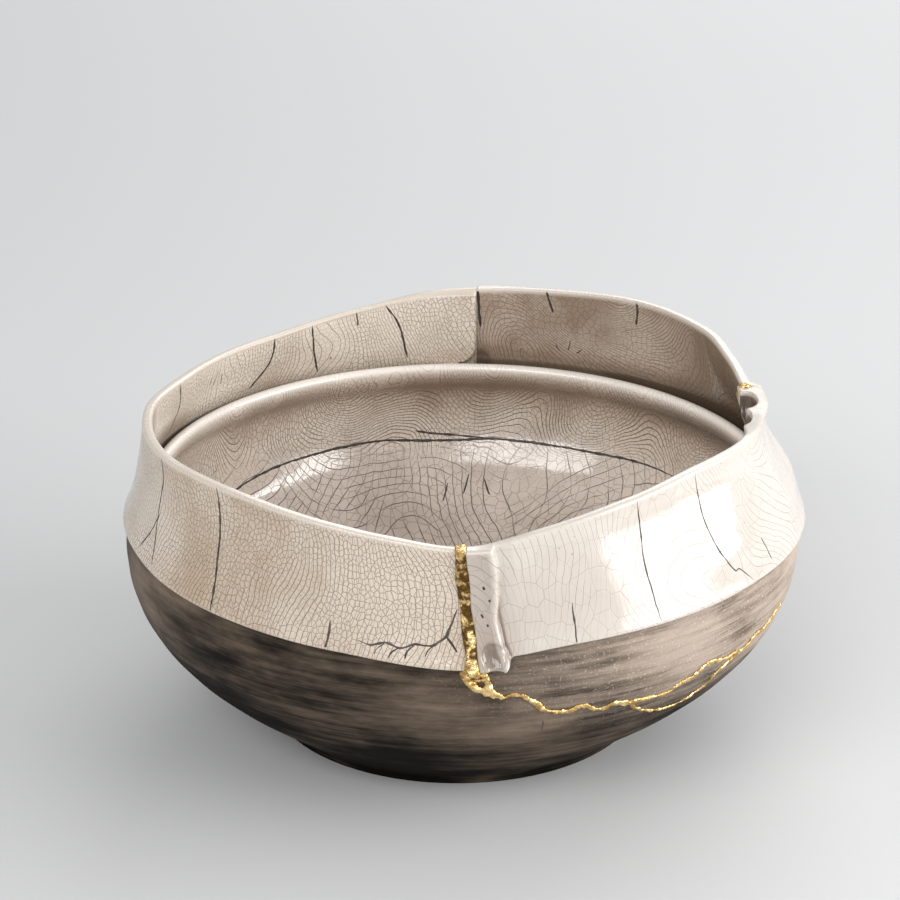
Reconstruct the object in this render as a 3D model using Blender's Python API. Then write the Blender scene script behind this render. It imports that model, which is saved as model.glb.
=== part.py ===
"""A raku bowl: a thrown, smoke-blackened bowl with a collar of three glazed slabs round its rim, mended with gold.

Metres, +Z up. The origin is the middle of the foot, on the surface that the bowl stands on. Angles are in degrees
round +Z, counted from +X. The front of the bowl, with its gold seam, looks along -Y, which is at -90 degrees.
"""

import bisect
import math

import bmesh
import bpy
from mathutils import Vector

MM = 0.001

# The thrown bowl: a low turned foot, a belly, and a wall that ends in a rounded ledge inside the collar.
FOOT_RADIUS = 0.0935
FOOT_HEIGHT = 0.005
FOOT_RING_WIDTH = 0.012
FOOT_GROOVE_WIDTH = 0.010
FOOT_GROOVE_DEPTH = 0.002
FOOT_UNDERCUT = 0.003
WALL_START_RADIUS = FOOT_RADIUS + FOOT_UNDERCUT
BELLY_RADIUS = 0.168
BELLY_HEIGHT = 0.100
BELLY_FULLNESS = 2.4
BELLY_TAPER = 1.2
SIDEWAYS_LEAN = 0.003
WALL = 0.007
FLOOR_THICKNESS = 0.011
INSIDE_SQUARENESS = 2.15
INSIDE_WIDEST_RISE = 0.008
INSIDE_WIDEST = BELLY_HEIGHT + INSIDE_WIDEST_RISE
LEDGE_INSET = 0.0145
LEDGE_RADIUS = BELLY_RADIUS - LEDGE_INSET
LEDGE_RISE = 0.026
LEDGE_HEIGHT = BELLY_HEIGHT + LEDGE_RISE
LEDGE_ROUND = 0.003
GROOVE_DEPTH = 0.005
THROWN_STEPS = 61  # a count that keeps its upright edges off those of the collar, COLLAR_STEP apart

# The collar: slabs that lean on the bowl's shoulder, flare over the belly and wander at the rim.
SLAB = 0.0055
RIM_INSET = 0.012
RIM_RADIUS = BELLY_RADIUS - RIM_INSET
RIM_RISE = 0.039
RIM_HEIGHT = LEDGE_HEIGHT + RIM_RISE
RIM_ROUND = 0.0020
RIM_UPRIGHT = 0.25
HOLLOW_NEAR_RIM = 0.6
SHOULDER_INSET = 0.0045
SHOULDER_RADIUS = BELLY_RADIUS - SHOULDER_INSET
EDGE_KICK = 1.3
EDGE_ROUND = 0.001
COLLAR_OVERHANG = 0.002
COLLAR_EDGE_RADIUS = BELLY_RADIUS + COLLAR_OVERHANG
COLLAR_EDGE_RISE = 0.0075
COLLAR_EDGE_HEIGHT = BELLY_HEIGHT + COLLAR_EDGE_RISE
COLLAR_STEP = 5.0

# How the rim wanders: degrees round, then millimetres out of RIM_RADIUS and up from RIM_HEIGHT.
RIM_WANDER = (
    (-90, 6.0, -10.5),
    (-76, 1.0, -5.0),
    (-60, -3.0, 1.0),
    (-42, -6.5, 4.0),
    (-24, -5.0, 3.5),
    (-8, -6.5, 1.0),
    (8, -8.5, 0.5),
    (22, -5.0, 2.5),
    (36, 3.5, 4.5),
    (55, 9.0, 5.5),
    (75, 6.0, 4.5),
    (92, 6.0, 2.5),
    (110, 2.0, -3.5),
    (135, -3.0, -7.5),
    (158, -2.5, -7.5),
    (180, 2.0, -5.0),
    (205, 3.5, -2.5),
    (225, 2.0, -1.5),
    (245, 3.0, -4.5),
    (258, 4.5, -7.5),
)

# How the slabs wander between rim and shoulder: degrees round, millimetres out at the shoulder, and hollowed above it.
SHOULDER_WANDER = ((-90, 0.0, 0.0), (-30, 0.5, 0.5), (2, 1.2, 3.2), (34, 0.5, 0.5), (120, 0.0, 0.0), (200, 0.0, 0.0))

# How the lower edge wanders: degrees round, then millimetres out and up.
EDGE_WANDER = (
    (-91, 2.5, -8.5),
    (-85.4, 2.5, -8.0),
    (-83.6, 0.0, -3.5),
    (-72, 0.0, 0.0),
    (-40, -0.5, 1.5),
    (-6, 1.5, 0.5),
    (6, 1.5, -1.5),
    (30, 0.0, 0.5),
    (84, 1.0, -2.0),
    (110, 0.0, 0.0),
    (195, 0.0, -0.5),
    (225, 1.0, -2.0),
    (250, 1.0, -4.5),
)

# The front joint: a slab folded back over itself, beside the seam.
FRONT_JOINT = -90.0
FRONT_LEAN = 0.0062
FRONT_LEAN_START = -0.0016
FRONT_LEAN_REACH = 20.0
SEAM_WIDTH = 0.0052
SEAM_DEPTH = 0.003
SEAM_SWAY = 0.12
FOLD_WIDTH = 0.0160
FOLD_LIFT_AT_SEAM = 0.0024
FOLD_LIFT_AT_RIDGE = 0.0050
FOLD_ROUND = 0.0026
FOLD_GROOVE = 0.0007
FOLD_GROOVE_REACH = 0.008
SCOOP_ACROSS = 0.0058
SCOOP_UP = 0.0066
SCOOP_DEPTH = 0.0042
SCOOP_FROM_SEAM = 0.0100
SCOOP_ABOVE_EDGE = 0.0062

# The right-hand joint: a slab end rolled inwards, with two slots in the roll, and a notch filled with gold.
SIDE_JOINT = 6.0
NOTCH_WIDTH = 0.0058
NOTCH_DEPTH = 0.022
SLOT_WIDTH = 0.0048
SLOT_LENGTH = 0.026
SLOT_DEPTH = 0.011
SLOT_WEB = 0.004
SLOT_FROM_NOTCH = 0.004
SLOT_INNER_WALL = 0.0024
ROLL_THICKNESS = 0.0135
ROLL_LENGTH = NOTCH_WIDTH / 2 + SLOT_FROM_NOTCH + 2 * SLOT_LENGTH + SLOT_WEB
ROLL_EASE = 0.014
ROLL_TAPER = 0.45
NOTCH_TAPER = 0.62
SIDE_LIFT = 0.0010

# The back joint: the left slab's end laps inside the slab beside it.
BACK_JOINT = 87.0
LAP_IN = 0.0040
LAP_OUT = 0.0030
LAP_LENGTH = 0.022
LAP_STEP = 0.002

# The gold, which stands a little proud of the clay and keeps a fine gap all round.
GAP = 0.0003
GOLD_PROUD = 0.0004
GOLD_BANK = 0.0016
GOLD_BELOW_EDGE = 0.002
CLAY_FACET = 0.0001
CUT_PAST = 0.003

# The mend on the belly: degrees round, hundredths of the belly's height, then width and thickness in millimetres.
MEND = (
    (-88.4, 98.5, 5.5, 3.8),
    (-88.0, 95.5, 9.5, 3.2),
    (-87.8, 91.0, 10.0, 1.9),
    (-86.0, 87.0, 6.5, 1.4),
    (-83.5, 83.4, 2.2, 1.1),
    (-80.7, 83.2, 1.8, 1.1),
    (-78.1, 78.0, 2.4, 1.1),
    (-75.8, 72.9, 2.0, 1.1),
    (-72.2, 71.6, 1.8, 1.1),
    (-69.8, 72.8, 2.2, 1.1),
    (-66.7, 69.6, 1.8, 1.1),
    (-62.0, 69.0, 2.2, 1.1),
    (-58.9, 68.8, 2.2, 1.1),
)
MEND_UPPER = (
    (-60.0, 69.0, 1.8, 1.1),
    (-53.9, 68.2, 1.6, 1.1),
    (-49.5, 72.3, 1.7, 1.1),
    (-45.3, 76.8, 1.9, 1.1),
    (-40.6, 74.6, 1.7, 1.1),
    (-36.2, 72.9, 2.0, 1.1),
)
MEND_LOWER = (
    (-60.8, 69.0, 1.7, 1.1),
    (-58.6, 62.7, 1.7, 1.1),
    (-55.5, 58.1, 1.5, 1.1),
    (-49.5, 55.2, 1.6, 1.1),
    (-45.2, 58.0, 1.6, 1.1),
    (-41.7, 66.8, 1.7, 1.1),
    (-37.3, 72.4, 1.9, 1.1),
)
MEND_END = (
    (-37.3, 72.4, 2.0, 1.1),
    (-34.3, 73.8, 1.9, 1.1),
    (-31.4, 77.4, 2.4, 1.1),
    (-26.5, 78.4, 2.0, 1.1),
    (-20.0, 82.0, 1.4, 1.1),
)


def clear_scene():
    for thing in list(bpy.data.objects):
        bpy.data.objects.remove(thing, do_unlink=True)


def material(name, colour, roughness, metallic=0.0):
    made = bpy.data.materials.new(name)
    made.use_nodes = True
    shader = made.node_tree.nodes["Principled BSDF"]
    shader.inputs["Base Color"].default_value = (*colour, 1.0)
    shader.inputs["Roughness"].default_value = roughness
    shader.inputs["Metallic"].default_value = metallic
    return made


def add_object(name, points, faces, finish=None):
    mesh = bpy.data.meshes.new(name)
    mesh.from_pydata([tuple(point) for point in points], [], faces)
    mesh.validate()
    tidy = bmesh.new()
    tidy.from_mesh(mesh)
    bmesh.ops.recalc_face_normals(tidy, faces=tidy.faces)
    tidy.to_mesh(mesh)
    tidy.free()
    made = bpy.data.objects.new(name, mesh)
    bpy.context.scene.collection.objects.link(made)
    if finish:
        mesh.materials.append(finish)
    return made


def helper(made):
    made.hide_render = True
    made.display_type = "WIRE"
    return made


def boolean(target, name, operation, other):
    cut = target.modifiers.new(name, "BOOLEAN")
    cut.operation = operation
    cut.solver = "EXACT"
    cut.object = helper(other)


def direction(angle):
    turn = math.radians(angle)
    return Vector((math.cos(turn), math.sin(turn), 0.0))


def lean(height):
    """The bowl was thrown a little out of true, so its wall leans towards +X as it rises."""
    return SIDEWAYS_LEAN * min(max(height / BELLY_HEIGHT, 0.0), 1.0)


def at(angle, radius, height):
    turn = math.radians(angle)
    return Vector((radius * math.cos(turn) + lean(height), radius * math.sin(turn), height))


def degrees_along(length, radius):
    return math.degrees(length / radius)


def ease(share):
    share = min(max(share, 0.0), 1.0)
    return share * share * (3 - 2 * share)


def slope(left, right):
    """The slope at a station, from the slopes on its two sides, so that the curve never overshoots."""
    return 2 * left * right / (left + right) if left * right > 0 else 0.0


def hermite(t, start, end, start_slope, end_slope):
    """A curve from start to end as t goes from 0 to 1, with its slope given at both."""
    return (
        start * (2 * t**3 - 3 * t**2 + 1)
        + start_slope * (t**3 - 2 * t**2 + t)
        + end * (3 * t**2 - 2 * t**3)
        + end_slope * (t**3 - t**2)
    )


def wander(stations, angle, column):
    """A smooth closed curve through the stations' values in this column, read at an angle."""
    count = len(stations)
    first = stations[0][0]
    angle = first + (angle - first) % 360
    starts = [station[0] for station in stations]
    here = bisect.bisect_right(starts, angle) - 1

    def station(index):
        turns, place = divmod(index, count)
        return stations[place][0] + 360 * turns, stations[place][column]

    (a0, v0), (a1, v1), (a2, v2), (a3, v3) = (station(here + step) for step in (-1, 0, 1, 2))
    before, middle, after = (v1 - v0) / (a1 - a0), (v2 - v1) / (a2 - a1), (v3 - v2) / (a3 - a2)
    span = a2 - a1
    return MM * hermite((angle - a1) / span, v1, v2, slope(before, middle) * span, slope(middle, after) * span)


def belly_radius(height):
    """The outside of the thrown wall, from the foot to the belly."""
    share = min((height - FOOT_HEIGHT) / (BELLY_HEIGHT - FOOT_HEIGHT), 1.0)
    swell = (1 - (1 - share) ** BELLY_FULLNESS) ** BELLY_TAPER
    return WALL_START_RADIUS + (BELLY_RADIUS - WALL_START_RADIUS) * swell


def inside_points(steps):
    """The glazed inside, from the middle of the floor to its widest height."""
    power = 2 / INSIDE_SQUARENESS
    for step in range(steps + 1):
        turn = math.pi / 2 * step / steps
        yield (
            (BELLY_RADIUS - WALL) * math.sin(turn) ** power,
            INSIDE_WIDEST - (INSIDE_WIDEST - FLOOR_THICKNESS) * math.cos(turn) ** power,
        )


def ledge_points():
    """The rounded ledge that the bowl's own rim makes, then the groove behind it."""
    middle = LEDGE_HEIGHT - LEDGE_ROUND
    yield LEDGE_RADIUS + 0.4 * LEDGE_ROUND, middle - 3 * LEDGE_ROUND
    yield LEDGE_RADIUS - 0.6 * LEDGE_ROUND, middle - 1.4 * LEDGE_ROUND
    for degrees in (190, 145, 100, 55, 10):
        turn = math.radians(degrees)
        yield LEDGE_RADIUS + LEDGE_ROUND * math.cos(turn), middle + LEDGE_ROUND * math.sin(turn)
    yield LEDGE_RADIUS + 1.5 * LEDGE_ROUND, LEDGE_HEIGHT - GROOVE_DEPTH
    yield BELLY_RADIUS - WALL / 2, LEDGE_HEIGHT - 2 * GROOVE_DEPTH


def thrown_profile():
    """The wall of the thrown bowl as a half section, from the floor up the inside and down the outside."""
    profile = list(inside_points(9))
    profile += ledge_points()
    profile.append((BELLY_RADIUS - WALL / 7, BELLY_HEIGHT + WALL / 2))
    steps = 10
    for step in range(steps + 1):
        profile.append((belly_radius(height_down(step / steps)), height_down(step / steps)))
    groove_out = FOOT_RADIUS - FOOT_RING_WIDTH
    groove_in = groove_out - FOOT_GROOVE_WIDTH
    profile += [
        (FOOT_RADIUS + MM, FOOT_HEIGHT),
        (FOOT_RADIUS, FOOT_HEIGHT / 3),
        (FOOT_RADIUS - MM, 0.0),
        (groove_out, 0.0),
        (groove_out - FOOT_GROOVE_DEPTH, FOOT_GROOVE_DEPTH),
        (groove_in + FOOT_GROOVE_DEPTH, FOOT_GROOVE_DEPTH),
        (groove_in, 0.0),
        (0.0, 0.0),
    ]
    return profile


def height_down(share):
    """Heights down the outside, closer together low down where the wall turns in."""
    return FOOT_HEIGHT + (BELLY_HEIGHT - FOOT_HEIGHT) * (1 - share) ** 1.35


def thrown_bowl(finish):
    """The half section spun round the wheel's axis, then leaned."""
    wheel = bmesh.new()
    points = [wheel.verts.new((radius, 0.0, height)) for radius, height in thrown_profile()]
    edges = [wheel.edges.new(pair) for pair in zip(points, points[1:])]
    bmesh.ops.spin(
        wheel, geom=points + edges, axis=(0, 0, 1), cent=(0, 0, 0), angle=2 * math.pi, steps=THROWN_STEPS
    )
    bmesh.ops.remove_doubles(wheel, verts=wheel.verts, dist=0.0001)
    bmesh.ops.recalc_face_normals(wheel, faces=wheel.faces)
    for vert in wheel.verts:
        vert.co.x += lean(vert.co.z)
    mesh = bpy.data.meshes.new("bowl")
    wheel.to_mesh(mesh)
    wheel.free()
    mesh.materials.append(finish)
    mesh.shade_smooth()
    made = bpy.data.objects.new("bowl", mesh)
    bpy.context.scene.collection.objects.link(made)
    return made


def rim_place(angle):
    return RIM_RADIUS + wander(RIM_WANDER, angle, 1), RIM_HEIGHT + wander(RIM_WANDER, angle, 2)


def edge_place(angle):
    return (
        COLLAR_EDGE_RADIUS + wander(EDGE_WANDER, angle, 1),
        COLLAR_EDGE_HEIGHT + wander(EDGE_WANDER, angle, 2),
    )


def flare(angle, height):
    """The slab's outer face before its joints: upright at the rim, over the shoulder, then out to the lower edge."""
    rim_radius, rim_height = rim_place(angle)
    edge_radius, edge_height = edge_place(angle)
    shoulder = SHOULDER_RADIUS + wander(SHOULDER_WANDER, angle, 1)
    above = (shoulder - rim_radius) / (rim_height - LEDGE_HEIGHT)
    below = (edge_radius - shoulder) / (LEDGE_HEIGHT - edge_height)
    middle = slope(above, below)
    if height > LEDGE_HEIGHT:
        span = rim_height - LEDGE_HEIGHT
        down = (rim_height - height) / span
        face = hermite(down, rim_radius, shoulder, above * RIM_UPRIGHT * span, middle * span)
        return face - wander(SHOULDER_WANDER, angle, 2) * math.sin(math.pi * down**HOLLOW_NEAR_RIM)
    span = LEDGE_HEIGHT - edge_height
    return hermite((LEDGE_HEIGHT - height) / span, shoulder, edge_radius, middle * span, below * EDGE_KICK * span)


def fold_lift(along):
    """How far the folded slab stands out, by the distance along it from the seam's middle line."""
    half = SEAM_WIDTH / 2
    if along <= -half:
        return 0.0
    if along < half:
        return FOLD_LIFT_AT_SEAM * ease((along + half) / SEAM_WIDTH)
    if along < FOLD_WIDTH:
        share = (along - half) / (FOLD_WIDTH - half)
        lift = FOLD_LIFT_AT_SEAM + (FOLD_LIFT_AT_RIDGE - FOLD_LIFT_AT_SEAM) * share**1.6
        round_off = max(along - (FOLD_WIDTH - FOLD_ROUND), 0.0) / FOLD_ROUND
        return lift * math.sqrt(max(1 - round_off**2, 0.0))
    share = (along - FOLD_WIDTH) / FOLD_GROOVE_REACH
    return -FOLD_GROOVE * math.sin(math.pi * min(share, 1.0) ** 0.5)


def wrap(angle):
    """The angle as -180 to 180 degrees from the middle of its own turn."""
    return (angle + 180) % 360 - 180


def lap_share(along):
    """How much of a lapped end's offset is left, by the distance back from its tip."""
    return ease(1 + along / LAP_STEP) * (1 - ease(along / (2 * LAP_LENGTH)))


def outer_lift(angle):
    """What the three joints add to the slab's outer face."""
    front = math.radians(wrap(angle - FRONT_JOINT)) * COLLAR_EDGE_RADIUS
    side = math.radians(wrap(angle - SIDE_JOINT)) * COLLAR_EDGE_RADIUS
    back = math.radians(wrap(BACK_JOINT - angle)) * COLLAR_EDGE_RADIUS
    lift = fold_lift(front) if -SEAM_WIDTH < front < 2 * FOLD_WIDTH else 0.0
    lift += SIDE_LIFT * math.exp(-((side / ROLL_EASE) ** 2))
    return lift + LAP_OUT * lap_share(back)


def inner_lift(angle, share):
    """What the joints add to the slab's inner face, towards the middle; share is 0 at the rim and 1 at the ledge."""
    side = math.radians(wrap(SIDE_JOINT - angle)) * RIM_RADIUS
    back = math.radians(wrap(angle - BACK_JOINT)) * RIM_RADIUS
    lift = 0.0
    roll = ease((side + NOTCH_WIDTH) / NOTCH_WIDTH) * (1 - ease((side - ROLL_LENGTH) / ROLL_EASE))
    if -NOTCH_WIDTH < side < ROLL_LENGTH + ROLL_EASE:
        lift += (ROLL_THICKNESS - SLAB) * roll * (1 - ROLL_TAPER * share)
    return lift + LAP_IN * lap_share(back)


def leaning(angle, share):
    """The front joint isn't upright: near it, every upright line leans to the right on its way down."""
    reach = math.exp(-((wrap(angle - FRONT_JOINT) / FRONT_LEAN_REACH) ** 2))
    return angle + reach * degrees_along(FRONT_LEAN_START + FRONT_LEAN * share**1.3, COLLAR_EDGE_RADIUS)


def slab_section(angle):
    """One upright section through the slabs, as a closed ring of points: up the outside, over the rim, down inside."""
    rim_radius, rim_height = rim_place(angle)
    edge_radius, edge_height = edge_place(angle)
    lift = outer_lift(angle)
    tall = rim_height - edge_height
    ring = []

    def add(radius, height):
        share = (rim_height - height) / tall
        ring.append(at(leaning(angle, share), radius, height))

    for share in (0.0, 0.05, 0.13, 0.24, 0.36, 0.5, 0.64, 0.8):
        height = edge_height + EDGE_ROUND + (tall - EDGE_ROUND - RIM_ROUND) * share
        add(flare(angle, height) + lift, height)
    inside = rim_radius - SLAB - inner_lift(angle, 0.0)
    outside = rim_radius + lift
    add(outside, rim_height - RIM_ROUND)
    add(outside - 0.35 * RIM_ROUND, rim_height - 0.3 * RIM_ROUND)
    add((inside + outside) / 2, rim_height)
    add(inside + 0.35 * RIM_ROUND, rim_height - 0.3 * RIM_ROUND)
    bottom = LEDGE_HEIGHT - GROOVE_DEPTH
    for share in (0.0, 0.3, 0.65, 1.0):
        height = rim_height - RIM_ROUND + (bottom - rim_height + RIM_ROUND) * share
        add(flare(angle, height) - SLAB - inner_lift(angle, share), height)
    add(BELLY_RADIUS - 0.85 * WALL, BELLY_HEIGHT + WALL)
    add(BELLY_RADIUS - WALL / 2, edge_height + 3 * EDGE_ROUND)
    add(BELLY_RADIUS, edge_height + EDGE_ROUND / 2)
    add(edge_radius + lift - EDGE_ROUND, edge_height)
    return ring


def front_places():
    """Along the front joint: the seam's two sides, up the fold, round its ridge and through the groove past it."""
    half = SEAM_WIDTH / 2
    ridge = FOLD_WIDTH - FOLD_ROUND
    return (
        [half * share for share in (-2.7, -1.2, -0.85, 0.85, 1.2)]
        + [half + (ridge - half) * share for share in (0.35, 0.7, 0.9)]
        + [ridge + FOLD_ROUND * share for share in (0.2, 0.6, 0.88, 1.05)]
        + [FOLD_WIDTH + FOLD_GROOVE_REACH * share for share in (0.15, 0.5, 1.1)]
    )


def side_places():
    """Along the side joint: from the roll's far end, along the roll, over the notch and off the swell."""
    return (
        [-ROLL_LENGTH - ROLL_EASE * share for share in (1.15, 0.55, 0.0)]
        + [-ROLL_LENGTH * share for share in (0.77, 0.54, 0.31, 0.1)]
        + [NOTCH_WIDTH * share for share in (-0.17, 0.17, 0.52, 1.1)]
        + [ROLL_EASE]
    )


def back_places():
    """Along the back joint: down one lapped end, over the step and up the other."""
    return (
        [-LAP_LENGTH * share for share in (0.8, 0.45, 0.18)]
        + [-LAP_STEP * 0.8, 0.0, LAP_STEP]
        + [LAP_LENGTH * share for share in (0.18, 0.45, 0.8)]
    )


def collar_angles():
    """Where the sections stand: an even step, and closer by the joints."""
    close = []
    for joint, places, radius in (
        (FRONT_JOINT, front_places(), COLLAR_EDGE_RADIUS),
        (SIDE_JOINT, side_places(), RIM_RADIUS),
        (BACK_JOINT, back_places(), RIM_RADIUS),
    ):
        close.append([joint + degrees_along(place, radius) for place in places])
    angles = [angle for group in close for angle in group]
    spans = [(group[0] - COLLAR_STEP / 2, group[-1] + COLLAR_STEP / 2) for group in close]
    steps = round(360 / COLLAR_STEP)
    for step in range(steps):
        angle = -180 + 360 * step / steps
        if not any(low < angle < high for low, high in spans):
            angles.append(angle)
    return sorted(angles)


def closed_band(rings):
    """Faces between rings of points, and from the last ring back to the first."""
    size = len(rings[0])
    faces = []
    for here in range(len(rings)):
        there = (here + 1) % len(rings)
        for spot in range(size):
            after = (spot + 1) % size
            faces.append((here * size + spot, there * size + spot, there * size + after, here * size + after))
    return [point for ring in rings for point in ring], faces


def capped_tube(rings):
    """Faces between rings of points, with a cap on each end."""
    points, faces = closed_band(rings)
    size = len(rings[0])
    faces = faces[: size * (len(rings) - 1)]
    faces.append(tuple(range(size)))
    faces.append(tuple(range(len(points) - 1, len(points) - size - 1, -1)))
    return points, faces


def collar():
    return add_object("collar_slabs", *closed_band([slab_section(angle) for angle in collar_angles()]))


def seam_rows(clear, above, below):
    """Down the front seam: share of the slab's height, height, half width, outer radius left and right, and depth."""
    _, rim_height = rim_place(FRONT_JOINT)
    _, edge_height = edge_place(FRONT_JOINT)
    tall = rim_height - edge_height
    half = SEAM_WIDTH / 2 - clear
    over_rim = SLAB + FOLD_LIFT_AT_SEAM + (above if clear == 0 else 0)
    floor = rim_height - SEAM_DEPTH + clear
    rows = [(rim_height + above, over_rim), (floor, over_rim), (floor - GAP, SEAM_DEPTH - clear)]
    rows += [(rim_height - tall * share, SEAM_DEPTH - clear) for share in (0.2, 0.36, 0.52, 0.68, 0.84)]
    rows.append((edge_height - below, SEAM_DEPTH - clear))
    for number, (height, depth) in enumerate(rows):
        share = (rim_height - height) / tall
        sway = 1 + SEAM_SWAY * math.sin(2.3 * number)
        yield share, height, half * sway, depth


def seam_bar(name, clear, above, below, left_out, right_out, finish=None):
    rings = []
    for share, height, half, depth in seam_rows(clear, above, below):
        level = min(height, rim_place(FRONT_JOINT)[1])
        radius = flare(FRONT_JOINT, max(level, edge_place(FRONT_JOINT)[1]))
        middle = leaning(FRONT_JOINT, min(max(share, 0.0), 1.0))
        turn = degrees_along(half, radius)
        rings.append(
            [
                at(middle - turn, radius + left_out, height),
                at(middle + turn, radius + right_out, height),
                at(middle + turn, radius - depth, height),
                at(middle - turn, radius - depth, height),
            ]
        )
    return add_object(name, *capped_tube(rings), finish)


def surface_frame(angle, height):
    """A point of the belly, with the direction straight out of it."""
    step = 0.5 * MM
    radius = belly_radius(height)
    rise = (belly_radius(height + step) - belly_radius(height - step)) / (2 * step)
    up = (direction(angle) * rise + Vector((0, 0, 1))).normalized()
    return at(angle, radius, height), direction(angle + 90).cross(up).normalized()


def bead(name, route, finish=None):
    """A flat bead of gold that follows the belly along a route of angle, height share, width and thickness."""
    places = [surface_frame(angle, share * BELLY_HEIGHT / 100) for angle, share, _, _ in route]
    rings = []
    for number, (place, out) in enumerate(places):
        before = places[max(number - 1, 0)][0]
        after = places[min(number + 1, len(places) - 1)][0]
        along = (after - before).normalized()
        across = out.cross(along).normalized()
        half = route[number][2] * MM / 2
        low, high = GAP + CLAY_FACET, GAP + route[number][3] * MM
        rings.append(
            [
                place + across * half + out * low,
                place + across * half * 0.6 + out * high,
                place - across * half * 0.6 + out * high,
                place - across * half + out * low,
            ]
        )
    return add_object(name, *capped_tube(rings), finish)


def ellipsoid(name, centre, axes, sizes):
    """A ball squashed to three half sizes along three directions."""
    ball = bmesh.new()
    bmesh.ops.create_uvsphere(ball, u_segments=16, v_segments=9, radius=1.0)
    mesh = bpy.data.meshes.new(name)
    for vert in ball.verts:
        local = vert.co.copy()
        vert.co = centre + sum((axis * size * part for axis, size, part in zip(axes, sizes, local)), Vector())
    ball.normal_update()
    bmesh.ops.recalc_face_normals(ball, faces=ball.faces)
    ball.to_mesh(mesh)
    ball.free()
    made = bpy.data.objects.new(name, mesh)
    bpy.context.scene.collection.objects.link(made)
    return made


def upright_slot(name, angle, radius, half_length, half_width, top, bottom):
    """An upright post with an oval plan, longer round the bowl than across it."""
    middle = at(angle, radius, top) - Vector((0, 0, top))
    across, along = direction(angle), direction(angle + 90)
    rings = []
    for height in (bottom, top):
        ring = []
        for step in range(12):
            turn = 2 * math.pi * step / 12
            flat = middle + along * half_length * math.cos(turn) + across * half_width * math.sin(turn)
            ring.append(flat + Vector((0, 0, height)))
        rings.append(ring)
    return add_object(name, *capped_tube(rings))


def notch_wedge(name, clear, above, finish=None):
    """The notch of the side joint: a wedge through the rim, wide at the top."""
    _, rim_height = rim_place(SIDE_JOINT)
    past = GOLD_PROUD if clear else CUT_PAST
    rings = []
    for share in (0.0, 0.5, 1.0):
        height = rim_height + above + (clear - NOTCH_DEPTH - above) * share
        half = NOTCH_WIDTH / 2 * (1 - NOTCH_TAPER * share) - clear
        radius = flare(SIDE_JOINT, min(height, rim_height))
        turn = degrees_along(half, radius)
        out = SIDE_LIFT + past
        thick = SLAB + inner_lift(SIDE_JOINT, share * NOTCH_DEPTH / (rim_height - LEDGE_HEIGHT)) + past
        rings.append(
            [
                at(SIDE_JOINT - turn, radius + out, height),
                at(SIDE_JOINT + turn, radius + out, height),
                at(SIDE_JOINT + turn, radius - thick, height),
                at(SIDE_JOINT - turn, radius - thick, height),
            ]
        )
    return add_object(name, *capped_tube(rings), finish)


def scoop():
    """The thumb's hollow in the lower end of the fold."""
    _, edge_height = edge_place(FRONT_JOINT)
    height = edge_height + SCOOP_ABOVE_EDGE
    angle = leaning(FRONT_JOINT, 1.0) + degrees_along(SCOOP_FROM_SEAM, COLLAR_EDGE_RADIUS)
    radius = flare(FRONT_JOINT, height) + FOLD_LIFT_AT_RIDGE
    axes = direction(angle + 90), Vector((0, 0, 1)), direction(angle)
    return ellipsoid("scoop", at(angle, radius, height), axes, (SCOOP_ACROSS, SCOOP_UP, SCOOP_DEPTH))


def roll_slots():
    """The two slots in the rolled end, one behind the other."""
    radius, height = rim_place(SIDE_JOINT)
    middle = radius - ROLL_THICKNESS + SLOT_INNER_WALL + SLOT_WIDTH / 2
    place = NOTCH_WIDTH / 2 + SLOT_FROM_NOTCH + SLOT_LENGTH / 2
    for number in range(2):
        angle = SIDE_JOINT - degrees_along(place, middle)
        own = rim_place(angle)[0] - radius
        yield upright_slot(
            f"roll_slot_{number + 1}",
            angle,
            middle + own,
            SLOT_LENGTH / 2,
            SLOT_WIDTH / 2,
            height + SLOT_DEPTH,
            height - SLOT_DEPTH,
        )
        place += SLOT_LENGTH + SLOT_WEB


def fired_bowl(finish):
    made = thrown_bowl(finish)
    boolean(made, "Wrap the slabs", "UNION", collar())
    wide = FOLD_LIFT_AT_RIDGE
    boolean(made, "Seam", "DIFFERENCE", seam_bar("seam_cut", 0.0, CUT_PAST, CUT_PAST, wide, wide))
    boolean(made, "Scoop", "DIFFERENCE", scoop())
    for slot in roll_slots():
        boolean(made, slot.name, "DIFFERENCE", slot)
    boolean(made, "Notch", "DIFFERENCE", notch_wedge("notch_cut", 0.0, CUT_PAST))
    return made


def gold_seam_front(finish):
    """The front mend as one piece: the bar in the seam, the drop below it and the line that parts and joins."""
    made = seam_bar("gold_seam_front", GAP, GOLD_PROUD, GOLD_BELOW_EDGE, GOLD_PROUD, GOLD_BANK, finish)
    for number, route in enumerate((MEND, MEND_UPPER, MEND_LOWER, MEND_END)):
        boolean(made, f"Mend {number + 1}", "UNION", bead(f"mend_{number + 1}", route))
    return made


def build():
    clear_scene()
    clay = material("fired clay", (0.62, 0.55, 0.47), 0.45)
    gold = material("gold", (0.85, 0.58, 0.22), 0.3, 1.0)
    fired_bowl(clay)
    gold_seam_front(gold)
    notch_wedge("gold_fill_side", GAP, GOLD_PROUD, gold)


build()
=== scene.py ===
# %% [markdown]
# A raku bowl, dressed for its portrait.
#
# The real bowl has two parts that the fire made one: a thrown bowl, blackened by smoke, and a collar of three
# slabs of clay under a crackled cream glaze. It broke once and was mended with gold. The fixed frame already
# holds its solids. This lesson lays the finer surfaces over them and gives each its finish.

# %% Load the fixed frame
import bisect
import math

import bmesh
import bpy
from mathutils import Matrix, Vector, noise
from mathutils.bvhtree import BVHTree


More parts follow.
